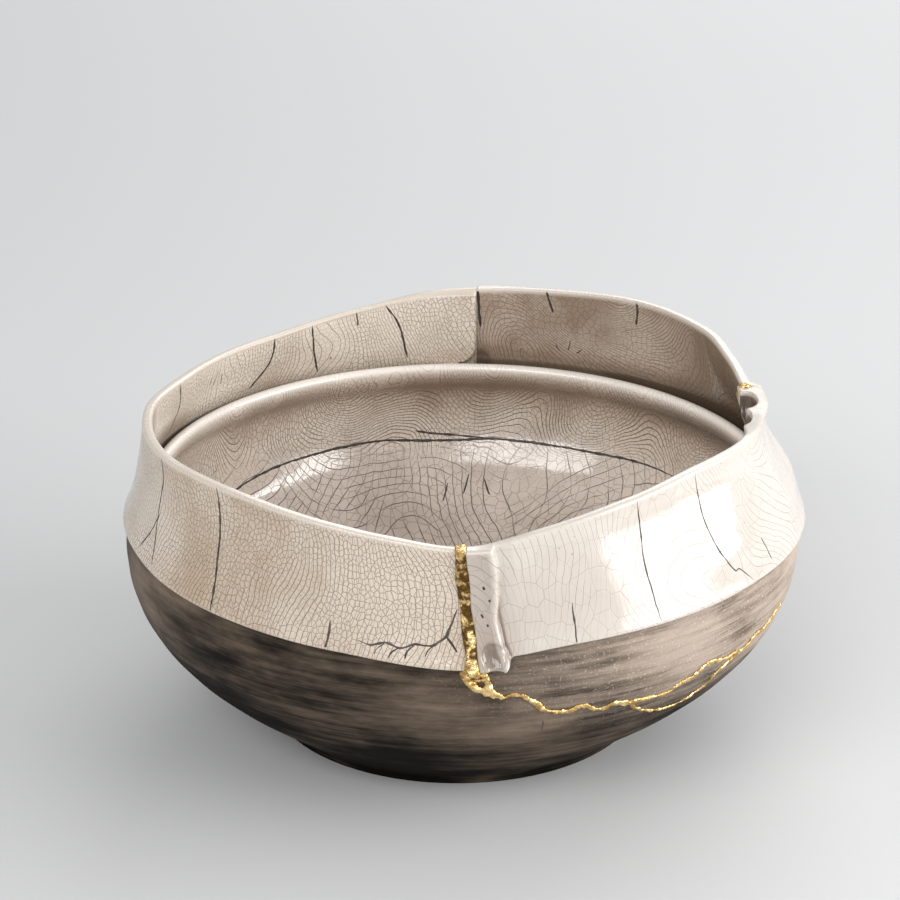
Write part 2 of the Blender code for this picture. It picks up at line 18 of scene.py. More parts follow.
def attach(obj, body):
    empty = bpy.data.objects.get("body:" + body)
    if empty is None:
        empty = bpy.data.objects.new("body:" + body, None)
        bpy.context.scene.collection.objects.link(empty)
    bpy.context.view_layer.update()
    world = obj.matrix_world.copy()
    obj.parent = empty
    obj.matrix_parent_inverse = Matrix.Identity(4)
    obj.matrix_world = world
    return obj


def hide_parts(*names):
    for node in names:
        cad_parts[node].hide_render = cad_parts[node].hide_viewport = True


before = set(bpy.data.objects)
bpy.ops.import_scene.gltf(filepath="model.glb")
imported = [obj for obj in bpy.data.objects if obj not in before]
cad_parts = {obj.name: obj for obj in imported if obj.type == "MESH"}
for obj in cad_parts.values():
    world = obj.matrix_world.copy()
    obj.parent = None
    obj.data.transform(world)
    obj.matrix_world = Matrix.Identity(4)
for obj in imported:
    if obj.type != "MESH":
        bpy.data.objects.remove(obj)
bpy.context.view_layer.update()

MM = 0.001

# %% [markdown]
# A potter would note the foot, the belly, the inner ledge and the collar's lower edge, and
# everything else hangs on those. They are the solids' own sizes, in metres, so that each finer surface lies
# where the solid's face lies.

# %% Sizes of the thrown bowl and its collar
FOOT_RADIUS, FOOT_HEIGHT = 0.0935, 0.005
FOOT_RING_WIDTH, FOOT_GROOVE_WIDTH, FOOT_GROOVE_DEPTH = 0.012, 0.010, 0.002
WALL_START_RADIUS = FOOT_RADIUS + 0.003
BELLY_RADIUS, BELLY_HEIGHT = 0.168, 0.100
BELLY_FULLNESS, BELLY_TAPER = 2.4, 1.2
SIDEWAYS_LEAN = 0.003
WALL, FLOOR_THICKNESS = 0.007, 0.011
INSIDE_SQUARENESS, INSIDE_WIDEST = 2.15, BELLY_HEIGHT + 0.008
LEDGE_RADIUS, LEDGE_HEIGHT, LEDGE_ROUND = BELLY_RADIUS - 0.0145, BELLY_HEIGHT + 0.026, 0.003
GROOVE_DEPTH = 0.005

SLAB = 0.0055
RIM_RADIUS, RIM_HEIGHT = BELLY_RADIUS - 0.012, LEDGE_HEIGHT + 0.039
RIM_ROUND, RIM_UPRIGHT, HOLLOW_NEAR_RIM = 0.0020, 0.25, 0.6
SHOULDER_RADIUS, EDGE_KICK, EDGE_ROUND = BELLY_RADIUS - 0.0045, 1.3, 0.001
COLLAR_EDGE_RADIUS, COLLAR_EDGE_HEIGHT = BELLY_RADIUS + 0.002, BELLY_HEIGHT + 0.0075
SKIN = 0.0002

RIM_WANDER = (
    (-90, 6.0, -10.5), (-76, 1.0, -5.0), (-60, -3.0, 1.0), (-42, -6.5, 4.0), (-24, -5.0, 3.5),
    (-8, -6.5, 1.0), (8, -8.5, 0.5), (22, -5.0, 2.5), (36, 3.5, 4.5), (55, 9.0, 5.5),
    (75, 6.0, 4.5), (92, 6.0, 2.5), (110, 2.0, -3.5), (135, -3.0, -7.5), (158, -2.5, -7.5),
    (180, 2.0, -5.0), (205, 3.5, -2.5), (225, 2.0, -1.5), (245, 3.0, -4.5), (258, 4.5, -7.5),
)
SHOULDER_WANDER = (
    (-90, 0.0, 0.0), (-30, 0.5, 0.5), (2, 1.2, 3.2), (34, 0.5, 0.5), (120, 0.0, 0.0), (200, 0.0, 0.0),
)
EDGE_WANDER = (
    (-91, 2.5, -8.5), (-85.4, 2.5, -8.0), (-83.6, 0.0, -3.5), (-72, 0.0, 0.0), (-40, -0.5, 1.5),
    (-6, 1.5, 0.5), (6, 1.5, -1.5), (30, 0.0, 0.5), (84, 1.0, -2.0), (110, 0.0, 0.0),
    (195, 0.0, -0.5), (225, 1.0, -2.0), (250, 1.0, -4.5),
)
print("belly", 2 * BELLY_RADIUS / MM, "mm wide, collar", 2 * COLLAR_EDGE_RADIUS / MM, "mm")

# %% [markdown]
# A hand-wrapped rim wanders in and out, up and down. It could be pulled about by hand in sculpt mode, but a
# closed curve through a few stations says the same thing in numbers that can be checked. The curve's slope at
# a station comes from its neighbours, so it never swings past them.

# %% The wandering curves
def ease(share):
    share = min(max(share, 0.0), 1.0)
    return share * share * (3 - 2 * share)


def bell(distance, reach):
    return math.exp(-((distance / reach) ** 2))


def slope(left, right):
    return 2 * left * right / (left + right) if left * right > 0 else 0.0


def hermite(t, start, end, start_slope, end_slope):
    return (
        start * (2 * t**3 - 3 * t**2 + 1)
        + start_slope * (t**3 - 2 * t**2 + t)
        + end * (3 * t**2 - 2 * t**3)
        + end_slope * (t**3 - t**2)
    )


def wander(stations, angle, column):
    count, first = len(stations), stations[0][0]
    angle = first + (angle - first) % 360
    here = bisect.bisect_right([station[0] for station in stations], angle) - 1

    def station(index):
        turns, place = divmod(index, count)
        return stations[place][0] + 360 * turns, stations[place][column]

    (a0, v0), (a1, v1), (a2, v2), (a3, v3) = (station(here + step) for step in (-1, 0, 1, 2))
    before, middle, after = (v1 - v0) / (a1 - a0), (v2 - v1) / (a2 - a1), (v3 - v2) / (a3 - a2)
    span = a2 - a1
    start_slope, end_slope = slope(before, middle) * span, slope(middle, after) * span
    return MM * hermite((angle - a1) / span, v1, v2, start_slope, end_slope)


def rim_place(angle):
    return RIM_RADIUS + wander(RIM_WANDER, angle, 1), RIM_HEIGHT + wander(RIM_WANDER, angle, 2)


def edge_place(angle):
    return (
        COLLAR_EDGE_RADIUS + wander(EDGE_WANDER, angle, 1),
        COLLAR_EDGE_HEIGHT + wander(EDGE_WANDER, angle, 2),
    )


print("rim height from", round(min(rim_place(a)[1] for a in range(360)) / MM, 1), "mm")

# %% [markdown]
# The wheel gives the lower part its round sections, and a slight lean shows that it was thrown by hand.
# Polar places (an angle, a radius and a height) suit such a form better than X and Y, so one helper turns
# them into points.

# %% Places on the bowl
def direction(angle):
    turn = math.radians(angle)
    return Vector((math.cos(turn), math.sin(turn), 0.0))


def lean(height):
    return SIDEWAYS_LEAN * min(max(height / BELLY_HEIGHT, 0.0), 1.0)


def at(angle, radius, height):
    place = direction(angle) * radius
    return Vector((place.x + lean(height), place.y, height))


def degrees_along(length, radius):
    return math.degrees(length / radius)


def wrap(angle):
    return (angle + 180) % 360 - 180


def belly_radius(height):
    share = min(max((height - FOOT_HEIGHT) / (BELLY_HEIGHT - FOOT_HEIGHT), 0.0), 1.0)
    swell = (1 - (1 - share) ** BELLY_FULLNESS) ** BELLY_TAPER
    return WALL_START_RADIUS + (BELLY_RADIUS - WALL_START_RADIUS) * swell


def flare(angle, height):
    rim_radius, rim_height = rim_place(angle)
    edge_radius, edge_height = edge_place(angle)
    shoulder = SHOULDER_RADIUS + wander(SHOULDER_WANDER, angle, 1)
    above = (shoulder - rim_radius) / (rim_height - LEDGE_HEIGHT)
    below = (edge_radius - shoulder) / (LEDGE_HEIGHT - edge_height)
    middle = slope(above, below)
    if height > LEDGE_HEIGHT:
        span = rim_height - LEDGE_HEIGHT
        down = max((rim_height - height) / span, 0.0)
        face = hermite(down, rim_radius, shoulder, above * RIM_UPRIGHT * span, middle * span)
        return face - wander(SHOULDER_WANDER, angle, 2) * math.sin(math.pi * down**HOLLOW_NEAR_RIM)
    span = LEDGE_HEIGHT - edge_height
    down = (LEDGE_HEIGHT - height) / span
    return hermite(down, shoulder, edge_radius, middle * span, below * EDGE_KICK * span)


print("belly at half height:", round(belly_radius(BELLY_HEIGHT / 2) / MM, 1), "mm from the middle")

# %% [markdown]
# A mesh is a list of points and of faces between them. Every form here is a row of rings, so two helpers are
# enough: one closes the rows into an object, the other keeps named numbers on the points, which the finishes
# read later to know where on the slab they are.

# %% From rings to a mesh
def band_faces(rows, size, closed):
    faces = []
    for here in range(rows if closed else rows - 1):
        there = (here + 1) % rows
        for spot in range(size):
            after = (spot + 1) % size
            faces.append((here * size + spot, there * size + spot, there * size + after, here * size + after))
    return faces


def make_piece(name, points, faces, finish):
    mesh = bpy.data.meshes.new(name)
    mesh.from_pydata([tuple(point) for point in points], [], faces)
    tidy = bmesh.new()
    tidy.from_mesh(mesh)
    bmesh.ops.recalc_face_normals(tidy, faces=tidy.faces)
    tidy.to_mesh(mesh)
    tidy.free()
    mesh.shade_smooth()
    piece = bpy.data.objects.new(name, mesh)
    bpy.context.scene.collection.objects.link(piece)
    mesh.materials.append(finish)
    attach(piece, "root")
    return piece


def keep_numbers(piece, name, kind, values):
    """Puts a number or a vector on each point under a name that a material can read."""
    layer = piece.data.attributes.new(name, kind, "POINT")
    field = "vector" if kind == "FLOAT_VECTOR" else "value"
    flat = [part for value in values for part in value] if kind == "FLOAT_VECTOR" else values
    layer.data.foreach_set(field, flat)


def hand_wave(point, size, seed):
    """The slow unevenness that hands leave in clay, from -1 to 1, over waves of this size."""
    return noise.noise(point / size + Vector((seed, 2.7 * seed, 0.0)))


print("one square of rings needs", len(band_faces(2, 4, False)), "faces")

# %% [markdown]
# Materials are small graphs of nodes. Writing one by hand in Python is wordy, so these helpers each add one
# node and give back what comes out of it, and a finish then reads like a recipe: clouds, cracks, a mix.

# %% Helpers for finishes
def new_finish(name, roughness, metallic=0.0):
    finish = bpy.data.materials.new(name)
    finish.use_nodes = True
    shader = finish.node_tree.nodes["Principled BSDF"]
    shader.inputs["Roughness"].default_value = roughness
    shader.inputs["Metallic"].default_value = metallic
    return finish, finish.node_tree, shader


def put(tree, kind, inputs, **settings):
    node = tree.nodes.new(kind)
    for key, value in settings.items():
        setattr(node, key, value)
    for key, value in inputs.items():
        if isinstance(value, bpy.types.NodeSocket):
            tree.links.new(value, node.inputs[key])
        else:
            node.inputs[key].default_value = value
    return node


def number(tree, operation, *values):
    return put(tree, "ShaderNodeMath", dict(enumerate(values)), operation=operation).outputs[0]


def times(tree, one, other):
    return number(tree, "MULTIPLY", one, other)


def plus(tree, one, other):
    return number(tree, "ADD", one, other)


def vector_math(tree, operation, inputs):
    return put(tree, "ShaderNodeVectorMath", inputs, operation=operation).outputs[0]


def between(tree, value, low, high, start=0.0, end=1.0):
    """0 to 1 (or start to end) as the value goes from low to high, eased at both ends."""
    inputs = {"Value": value, "From Min": low, "From Max": high, "To Min": start, "To Max": end}
    return put(tree, "ShaderNodeMapRange", inputs, interpolation_type="SMOOTHSTEP").outputs["Result"]


def blend(tree, share, under, over):
    node = put(tree, "ShaderNodeMix", {0: share, 6: under, 7: over}, data_type="RGBA")
    return node.outputs[2]


def stretch(tree, place, scale, shift=(0.0, 0.0, 0.0)):
    inputs = {"Vector": place, "Scale": scale, "Location": shift}
    return put(tree, "ShaderNodeMapping", inputs).outputs["Vector"]


def cloud(tree, place, scale, detail=3.0, roughness=0.55, output="Fac"):
    inputs = {"Vector": place, "Scale": scale, "Detail": detail, "Roughness": roughness}
    return put(tree, "ShaderNodeTexNoise", inputs).outputs[output]


def dots(tree, place, scale):
    """How far each place is from the nearest of many scattered dots."""
    inputs = {"Vector": place, "Scale": scale, "Randomness": 1.0}
    return put(tree, "ShaderNodeTexVoronoi", inputs, feature="F1").outputs["Distance"]


def crack_distance(tree, place, scale):
    """How far each place is from the nearest edge of a pattern of cells."""
    inputs = {"Vector": place, "Scale": scale, "Randomness": 0.9}
    made = put(tree, "ShaderNodeTexVoronoi", inputs, feature="DISTANCE_TO_EDGE", voronoi_dimensions="2D")
    return made.outputs["Distance"]


def bend(tree, place, wave, reach):
    """Pushes places about by up to half of reach, in waves of this length, so that straight patterns curl."""
    push = cloud(tree, place, 1 / wave, 1.0, 0.5, "Color")
    centred = vector_math(tree, "SUBTRACT", {0: push, 1: (0.5, 0.5, 0.5)})
    scaled = vector_math(tree, "SCALE", {0: centred, "Scale": reach})
    return vector_math(tree, "ADD", {0: place, 1: scaled})


def raise_surface(tree, shader, height, distance):
    node = put(tree, "ShaderNodeBump", {"Height": height, "Distance": distance, "Strength": 1.0})
    tree.links.new(node.outputs["Normal"], shader.inputs["Normal"])


def read_number(tree, name, output="Fac"):
    return put(tree, "ShaderNodeAttribute", {}, attribute_name=name).outputs[output]


def own_place(tree):
    return put(tree, "ShaderNodeTexCoord", {}).outputs["Object"]


print("helpers ready: mixes, clouds, dots, cells and bends")

# %% [markdown]
# Raku glaze crackles because it is pulled red-hot from the kiln, and the smoke then stains each crack. The
# cracks come in two families: long curved ones in rows, then short ones that part the strips into cells. A
# photo of crackle would do it, but it would repeat and blur. So the rows are drawn as the level lines of a
# slope with slow clouds on it, like contours on a map, and the cells as the edges of a Voronoi pattern. Both
# stay sharp at any scale.

# %% The crackled glaze
CRACK_CORE, CRACK_FADE = 0.4, 1.3
# The near-black of deep soot, also used for painted shade in grooves and hollows.
SOOT_AND_SHADE = (0.075, 0.050, 0.033, 1.0)
CRACK_BROWN, SPECK_BROWN = (0.080, 0.052, 0.034, 1.0), (0.05, 0.033, 0.022, 1.0)


def row_cracks(tree, place, spacing, run, rise, swirl, wave, width):
    """Thin cracks in rows, like the lines of a fingerprint: run and rise lay them out, swirl curls them.
    The rows' steepness is measured over a short step, so that a crack stays as thin where the rows run wide."""
    uneven = bend(tree, place, 0.010, 0.0022)
    step = 0.0008

    def row_number(shift):
        moved = vector_math(tree, "ADD", {0: uneven, 1: shift})
        parts = put(tree, "ShaderNodeSeparateXYZ", {0: moved}).outputs
        laid = plus(tree, times(tree, parts["X"], run), times(tree, parts["Y"], rise))
        curl = times(tree, cloud(tree, moved, 1 / wave, 0.6, 0.5), swirl)
        return number(tree, "DIVIDE", plus(tree, laid, curl), spacing)

    rows = row_number((0.0, 0.0, 0.0))
    beside = number(tree, "SUBTRACT", row_number((step, 0.0, 0.0)), rows)
    above = number(tree, "SUBTRACT", row_number((0.0, step, 0.0)), rows)
    steep = plus(tree, number(tree, "POWER", beside, 2.0), number(tree, "POWER", above, 2.0))
    steep = number(tree, "SQRT", steep)
    half = number(tree, "MINIMUM", times(tree, steep, width / step / 2), width / spacing / 2)
    from_row = number(tree, "PINGPONG", rows, 0.5)
    return between(tree, from_row, times(tree, half, CRACK_CORE), times(tree, half, CRACK_FADE), 1.0, 0.0)


def cell_cracks(tree, place, size, width, bending=0.003):
    """Thin cracks that part the glaze into cells of this size."""
    from_edge = crack_distance(tree, bend(tree, place, 0.012, bending), 1 / size)
    half = width / size / 2
    return between(tree, from_edge, CRACK_CORE * half, CRACK_FADE * half, 1.0, 0.0)


def floor_cracks(tree, place, other, size):
    """Cracks set further apart: two crossing families of rows that come and go, and a few faint cells."""
    aside = stretch(tree, place, (1.0, 1.0, 1.0), (0.4, 0.2, 0.0))
    level = row_cracks(tree, aside, size, 0.1, 0.7, 0.10, 0.09, 0.00060)
    level = times(tree, level, between(tree, other, 0.56, 0.44, 0.2, 1.0))
    upright = row_cracks(tree, place, size, 0.8, 0.1, 0.10, 0.10, 0.00066)
    upright = times(tree, upright, between(tree, other, 0.38, 0.52, 0.3, 1.0))
    faint = times(tree, cell_cracks(tree, place, size, 0.00045, 0.006), 0.5)
    return number(tree, "MAXIMUM", number(tree, "MAXIMUM", level, upright), faint)


def crackled_glaze(name, cream, smoke_and_shade, bare_and_highlight_colour, rows, cells, smoke_and_shade_strength, strength, wide=None, gloss=1.62):
    """A cream glaze whose cracks have taken up soot. The point number smoke_and_shade darkens it, partly with
    sooty stains and partly with painted shade. rows and cells describe the two families of cracks.
    Where wide is given, the point number "floor" fades them out and brings in cracks that far apart."""
    finish, tree, shader = new_finish(name, 0.14)
    place = read_number(tree, "place", "Vector")
    solid = own_place(tree)
    patches = cloud(tree, solid, 15.0, 4.0, 0.6)
    other = cloud(tree, solid, 34.0, 2.0)
    row_line = times(tree, row_cracks(tree, place, *rows), between(tree, other, 0.34, 0.54, 0.45, 1.0))
    cell_line = times(tree, cell_cracks(tree, place, *cells), between(tree, other, 0.62, 0.42, 0.35, 0.75))
    lines = number(tree, "MAXIMUM", row_line, cell_line)
    if wide:
        on_floor = read_number(tree, "floor")
        open_line = times(tree, floor_cracks(tree, place, other, wide), on_floor)
        lines = plus(tree, times(tree, lines, number(tree, "SUBTRACT", 1.0, on_floor)), open_line)
    whole = number(tree, "SUBTRACT", 1.0, times(tree, read_number(tree, "bare_and_highlight"), 0.75))
    lines = times(tree, times(tree,lines, strength), whole)
    # Darker by the point number smoke_and_shade: sooty stains together with painted shade in grooves, hollows,
    # under the ledge and on faces turned from the lamps.
    stain_and_shade = plus(tree, between(tree, patches, 0.38, 0.72), read_number(tree, "smoke_and_shade"))
    stain_and_shade = number(tree, "MINIMUM", times(tree, stain_and_shade, smoke_and_shade_strength), 0.92)
    ground = blend(tree, stain_and_shade, (*cream, 1.0), (*smoke_and_shade, 1.0))
    sooty_and_shaded = times(tree, between(tree, read_number(tree, "smoke_and_shade"), 0.8, 2.2), 0.9)
    ground = blend(tree, sooty_and_shaded, ground, SOOT_AND_SHADE)
    # bare_and_highlight paints pale, thinly glazed edges; on the inner ledge it is also a painted highlight.
    ground = blend(tree, read_number(tree, "bare_and_highlight"), ground, (*bare_and_highlight_colour, 1.0))
    specks = between(tree, dots(tree, solid, 48.0), 0.02, 0.05, 0.7, 0.0)
    pits = between(tree, dots(tree, solid, 260.0), 0.06, 0.13, 0.6, 0.0)
    speck = times(tree, number(tree, "MAXIMUM", specks, pits), between(tree, other, 0.48, 0.62))
    painted = blend(tree, lines, ground, CRACK_BROWN)
    painted = blend(tree, times(tree, speck, whole), painted, SPECK_BROWN)
    tree.links.new(painted, shader.inputs["Base Color"])
    rough = plus(tree, between(tree, patches, 0.3, 0.7, 0.06, 0.15), times(tree, lines, 0.25))
    tree.links.new(plus(tree, rough, times(tree, read_number(tree, "bare_and_highlight"), 0.15)),
                   shader.inputs["Roughness"])
    skin = times(tree, cloud(tree, solid, 120.0, 2.0), 0.35)
    skin = plus(tree, skin, times(tree, cloud(tree, solid, 55.0, 3.0), 3.0))
    raise_surface(tree, shader, number(tree, "SUBTRACT", skin, times(tree, lines, 0.6)), 0.00010)
    shader.inputs["IOR"].default_value = gloss
    return finish


glaze_left = crackled_glaze(
    "crackled glaze, left slab",
    cream=(0.77, 0.69, 0.60), smoke_and_shade=(0.45, 0.335, 0.23), bare_and_highlight_colour=(0.66, 0.58, 0.49),
    rows=(0.0026, 1.0, 0.12, 0.060, 0.060, 0.00040), cells=(0.0027, 0.00038), smoke_and_shade_strength=0.55, strength=0.84,
)
glaze_right = crackled_glaze(
    "crackled glaze, front right slab",
    cream=(0.60, 0.55, 0.50), smoke_and_shade=(0.42, 0.34, 0.27), bare_and_highlight_colour=(0.60, 0.54, 0.475),
    rows=(0.0044, 0.9, 0.3, 0.12, 0.070, 0.00042), cells=(0.0085, 0.00030), smoke_and_shade_strength=0.40, strength=0.46,
)
# The back right slab's glaze is darker and sootier, partly as painted shade: its inner face turns away from the
# softbox at the right.
glaze_back = crackled_glaze(
    "crackled glaze, back right slab",
    cream=(0.70, 0.61, 0.52), smoke_and_shade=(0.28, 0.198, 0.134), bare_and_highlight_colour=(0.66, 0.585, 0.50),
    rows=(0.0020, 0.12, 0.45, 0.15, 0.070, 0.00044), cells=(0.0034, 0.00034), smoke_and_shade_strength=0.66, strength=0.85,
)
# Inside, the pale colour on the ledge's top is a painted highlight as well as a paler rim.
glaze_inside = crackled_glaze(
    "crackled glaze, inside",
    cream=(0.72, 0.62, 0.53), smoke_and_shade=(0.29, 0.208, 0.142), bare_and_highlight_colour=(0.92, 0.85, 0.77),
    rows=(0.0023, 0.25, 0.45, 0.16, 0.080, 0.00062), cells=(0.0032, 0.00040), smoke_and_shade_strength=0.55, strength=1.0,
    wide=0.00594, gloss=1.80,
)
print("four glazes:", [one.name for one in (glaze_left, glaze_right, glaze_back, glaze_inside)])

# %% [markdown]
# Below the collar the clay was left unglazed and packed in sawdust, which smoked it black and brown. It was
# burnished a little on the wheel, so pale and dark streaks run round it, and it has a low sheen. Clouds
# stretched sideways draw the streaks, and a fine grain breaks up the sheen. The upper right is painted
# lighter, greyer and flecked pale, as a painted sheen of the softbox at the right, and the clay is darker
# towards the bottom.

# %% The smoked clay
def smoked_clay():
    finish, tree, shader = new_finish("smoked clay", 0.55)
    solid = own_place(tree)
    clouds = cloud(tree, stretch(tree, solid, (10.0, 10.0, 26.0)), 1.0, 5.0, 0.62)
    streaks = cloud(tree, stretch(tree, solid, (16.0, 16.0, 330.0)), 1.0, 4.0, 0.7)
    grain = cloud(tree, solid, 900.0, 2.0, 0.6)
    parts = put(tree, "ShaderNodeSeparateXYZ", {0: solid}).outputs
    # painted_light is a painted sheen of the softbox at the right: the clay is painted lighter towards the right
    # and the top.
    rightward = between(tree, parts["X"], -0.12, 0.19)
    upward = between(tree, parts["Z"], 0.012, 0.095)
    painted_light = times(tree, rightward, upward)
    mixed = plus(tree, times(tree, clouds, 0.95), times(tree, streaks, 0.34))
    # Darker towards the bottom.
    mixed = plus(tree, mixed, times(tree, upward, 0.15))
    # warm is the clay's brown tone, raised by painted_light towards the upper right.
    warm = between(tree, plus(tree, mixed, times(tree, painted_light, 0.26)), 0.62, 1.12)
    soot, brown = (0.0050, 0.0037, 0.0028, 1.0), (0.240, 0.180, 0.132, 1.0)
    ash_and_sheen_grey, painted_glint = (0.47, 0.39, 0.325, 1.0), (0.62, 0.56, 0.50, 1.0)
    painted = blend(tree, warm, soot, brown)
    # ash_and_sheen: pale grey streaky patches, laid only where painted_light is high, so they act as a painted
    # sheen.
    ash_and_sheen = plus(tree, times(tree, clouds, 0.5), times(tree, streaks, 0.5))
    ash_and_sheen = times(tree, between(tree, ash_and_sheen, 0.36, 0.58), between(tree, painted_light, 0.30, 0.92))
    painted = blend(tree, times(tree, ash_and_sheen, 0.82), painted, ash_and_sheen_grey)
    # Pale specks only on the lit upper right: painted glints.
    speck = times(tree, between(tree, grain, 0.60, 0.70), between(tree, painted_light, 0.1, 0.9))
    painted = blend(tree, times(tree, speck, 0.6), painted, painted_glint)
    tree.links.new(painted, shader.inputs["Base Color"])
    polish = times(tree, between(tree, parts["Z"], 0.03, 0.09), between(tree, streaks, 0.3, 0.7, 0.42, 0.30))
    tree.links.new(number(tree, "SUBTRACT", 0.86, polish), shader.inputs["Roughness"])
    relief = plus(tree, times(tree, streaks, 1.3), times(tree, grain, 0.45))
    raise_surface(tree, shader, relief, 0.00028)
    shader.inputs["Specular IOR Level"].default_value = 0.08
    return finish


clay = smoked_clay()
print("made", clay.name)

# %% [markdown]
# The mend is lacquer that was filled in, dusted with gold and left uneven. Gold is all reflection, so its base
# colour is high and warm and its metal value is 1. On the collar it has burnt to brown in patches, which are
# rougher.

# %% The gold
def mended_gold():
    finish, tree, shader = new_finish("mended gold", 0.24, 1.0)
    solid = own_place(tree)
    patches = cloud(tree, solid, 210.0, 4.0, 0.6)
    fine = cloud(tree, solid, 900.0, 3.0, 0.6)
    burnt = times(tree, between(tree, patches, 0.38, 0.56), read_number(tree, "burnt"))
    burnt = number(tree, "MINIMUM", burnt, 0.94)
    painted = blend(tree, between(tree, patches, 0.3, 0.7), (1.0, 0.75, 0.37, 1.0), (0.75, 0.46, 0.14, 1.0))
    painted = blend(tree, burnt, painted, (0.085, 0.043, 0.010, 1.0))
    tree.links.new(painted, shader.inputs["Base Color"])
    tree.links.new(between(tree, plus(tree, fine, burnt), 0.3, 1.3, 0.16, 0.50), shader.inputs["Roughness"])
    relief = plus(tree, patches, times(tree, fine, 0.3))
    raise_surface(tree, shader, relief, 0.0011)
    return finish


def crack_carbon():
    finish, tree, shader = new_finish("carbon in the long cracks", 0.45)
    patches = between(tree, cloud(tree, own_place(tree), 260.0, 3.0), 0.4, 0.7)
    painted = blend(tree, patches, (0.028, 0.020, 0.015, 1.0), (0.090, 0.065, 0.048, 1.0))
    tree.links.new(painted, shader.inputs["Base Color"])
    return finish


gold = mended_gold()
carbon = crack_carbon()
print("made", gold.name, "and", carbon.name)

# %% [markdown]
# The thrown bowl is a half section spun round the wheel's axis. Spinning it as one shell would do, but its two
# faces differ: glaze inside, bare clay outside. So it becomes a glazed lining and a clay wall, each closed, which
# meet inside the wall where nobody looks. A slow unevenness keeps them from looking machined.

# %% Sections of the thrown bowl
def inside_curve(steps):
    power = 2 / INSIDE_SQUARENESS
    for step in range(steps + 1):
        turn = math.pi / 2 * step / steps
        yield (
            (BELLY_RADIUS - WALL) * math.sin(turn) ** power,
            INSIDE_WIDEST - (INSIDE_WIDEST - FLOOR_THICKNESS) * math.cos(turn) ** power,
        )


def ledge_curve():
    middle = LEDGE_HEIGHT - LEDGE_ROUND
    yield LEDGE_RADIUS + 1.0 * LEDGE_ROUND, middle - 3.6 * LEDGE_ROUND
    yield LEDGE_RADIUS + 0.3 * LEDGE_ROUND, middle - 2.9 * LEDGE_ROUND
    yield LEDGE_RADIUS - 0.4 * LEDGE_ROUND, middle - 1.9 * LEDGE_ROUND
    yield LEDGE_RADIUS - 0.8 * LEDGE_ROUND, middle - 1.0 * LEDGE_ROUND
    for degrees in range(195, -1, -15):
        turn = math.radians(degrees)
        yield LEDGE_RADIUS + LEDGE_ROUND * math.cos(turn), middle + LEDGE_ROUND * math.sin(turn)
    yield LEDGE_RADIUS + 1.2 * LEDGE_ROUND, LEDGE_HEIGHT - 0.9 * GROOVE_DEPTH
    yield LEDGE_RADIUS + 1.7 * LEDGE_ROUND, LEDGE_HEIGHT - 1.05 * GROOVE_DEPTH
    yield BELLY_RADIUS - WALL / 2, LEDGE_HEIGHT - 1.9 * GROOVE_DEPTH


def inside_radius(height):
    """The glazed inside's radius at a height below its widest."""
    share = min(max((INSIDE_WIDEST - height) / (INSIDE_WIDEST - FLOOR_THICKNESS), 0.0), 1.0)
    return (BELLY_RADIUS - WALL) * (1 - share**INSIDE_SQUARENESS) ** (1 / INSIDE_SQUARENESS)


def mid_wall(height):
    """Half-way through the wall, where the lining and the clay meet."""
    return (inside_radius(height) + belly_radius(height)) / 2


open_curve = list(inside_curve(58))
lining = open_curve[1:] + list(ledge_curve())
hidden = [(mid_wall(h * MM) - 0.0001, h * MM) for h in range(114, 24, -6)]
hidden += [(WALL_START_RADIUS * 0.9, 0.012), (WALL_START_RADIUS * 0.6, 0.0075)]
lining_rows = [(0.0, FLOOR_THICKNESS)] + lining + hidden + [(0.0, 0.0072)]
print(len(lining_rows), "rows in the lining's section,", len(open_curve), "of them on the open curve")

# %% [markdown]
# To spin a section without a seam, its first and last rows sit on the axis and each becomes one point. The
# pattern's places are measured outwards from the middle of the floor along the clay, like a flat map of the
# bowl, so the crackle runs over floor and wall without a join.

# %% Spin the lining and the clay wall
def spin(name, section, columns, finish, uneven, seed, waves):
    """Spins a section whose ends lie on the axis, and returns the piece with each point's row and angle."""
    points, rows = [at(0, 0, section[0][1])], [(0, 0.0)]
    for row, (radius, height) in enumerate(section[1:-1], 1):
        for column in range(columns):
            angle = 360 * column / columns
            point = at(angle, radius, height)
            if height > FOOT_HEIGHT:
                push = uneven * (hand_wave(point, waves, seed) - 0.6)
                ring = 0.25 * uneven * math.sin(height / 0.0021 + 2.0 * hand_wave(point, 0.12, seed + 5))
                point += direction(angle) * (push + ring)
            points.append(point)
            rows.append((row, angle))
    points.append(at(0, 0, section[-1][1]))
    rows.append((len(section) - 1, 0.0))
    faces = []
    for row in range(len(section) - 3):
        start, after = 1 + row * columns, 1 + (row + 1) * columns
        for column in range(columns):
            beside = (column + 1) % columns
            faces.append((start + column, start + beside, after + beside, after + column))
    last = 1 + (len(section) - 3) * columns
    for column in range(columns):
        beside = (column + 1) % columns
        faces.append((0, 1 + beside, 1 + column))
        faces.append((last + column, last + beside, len(points) - 1))
    return make_piece(name, points, faces, finish), rows


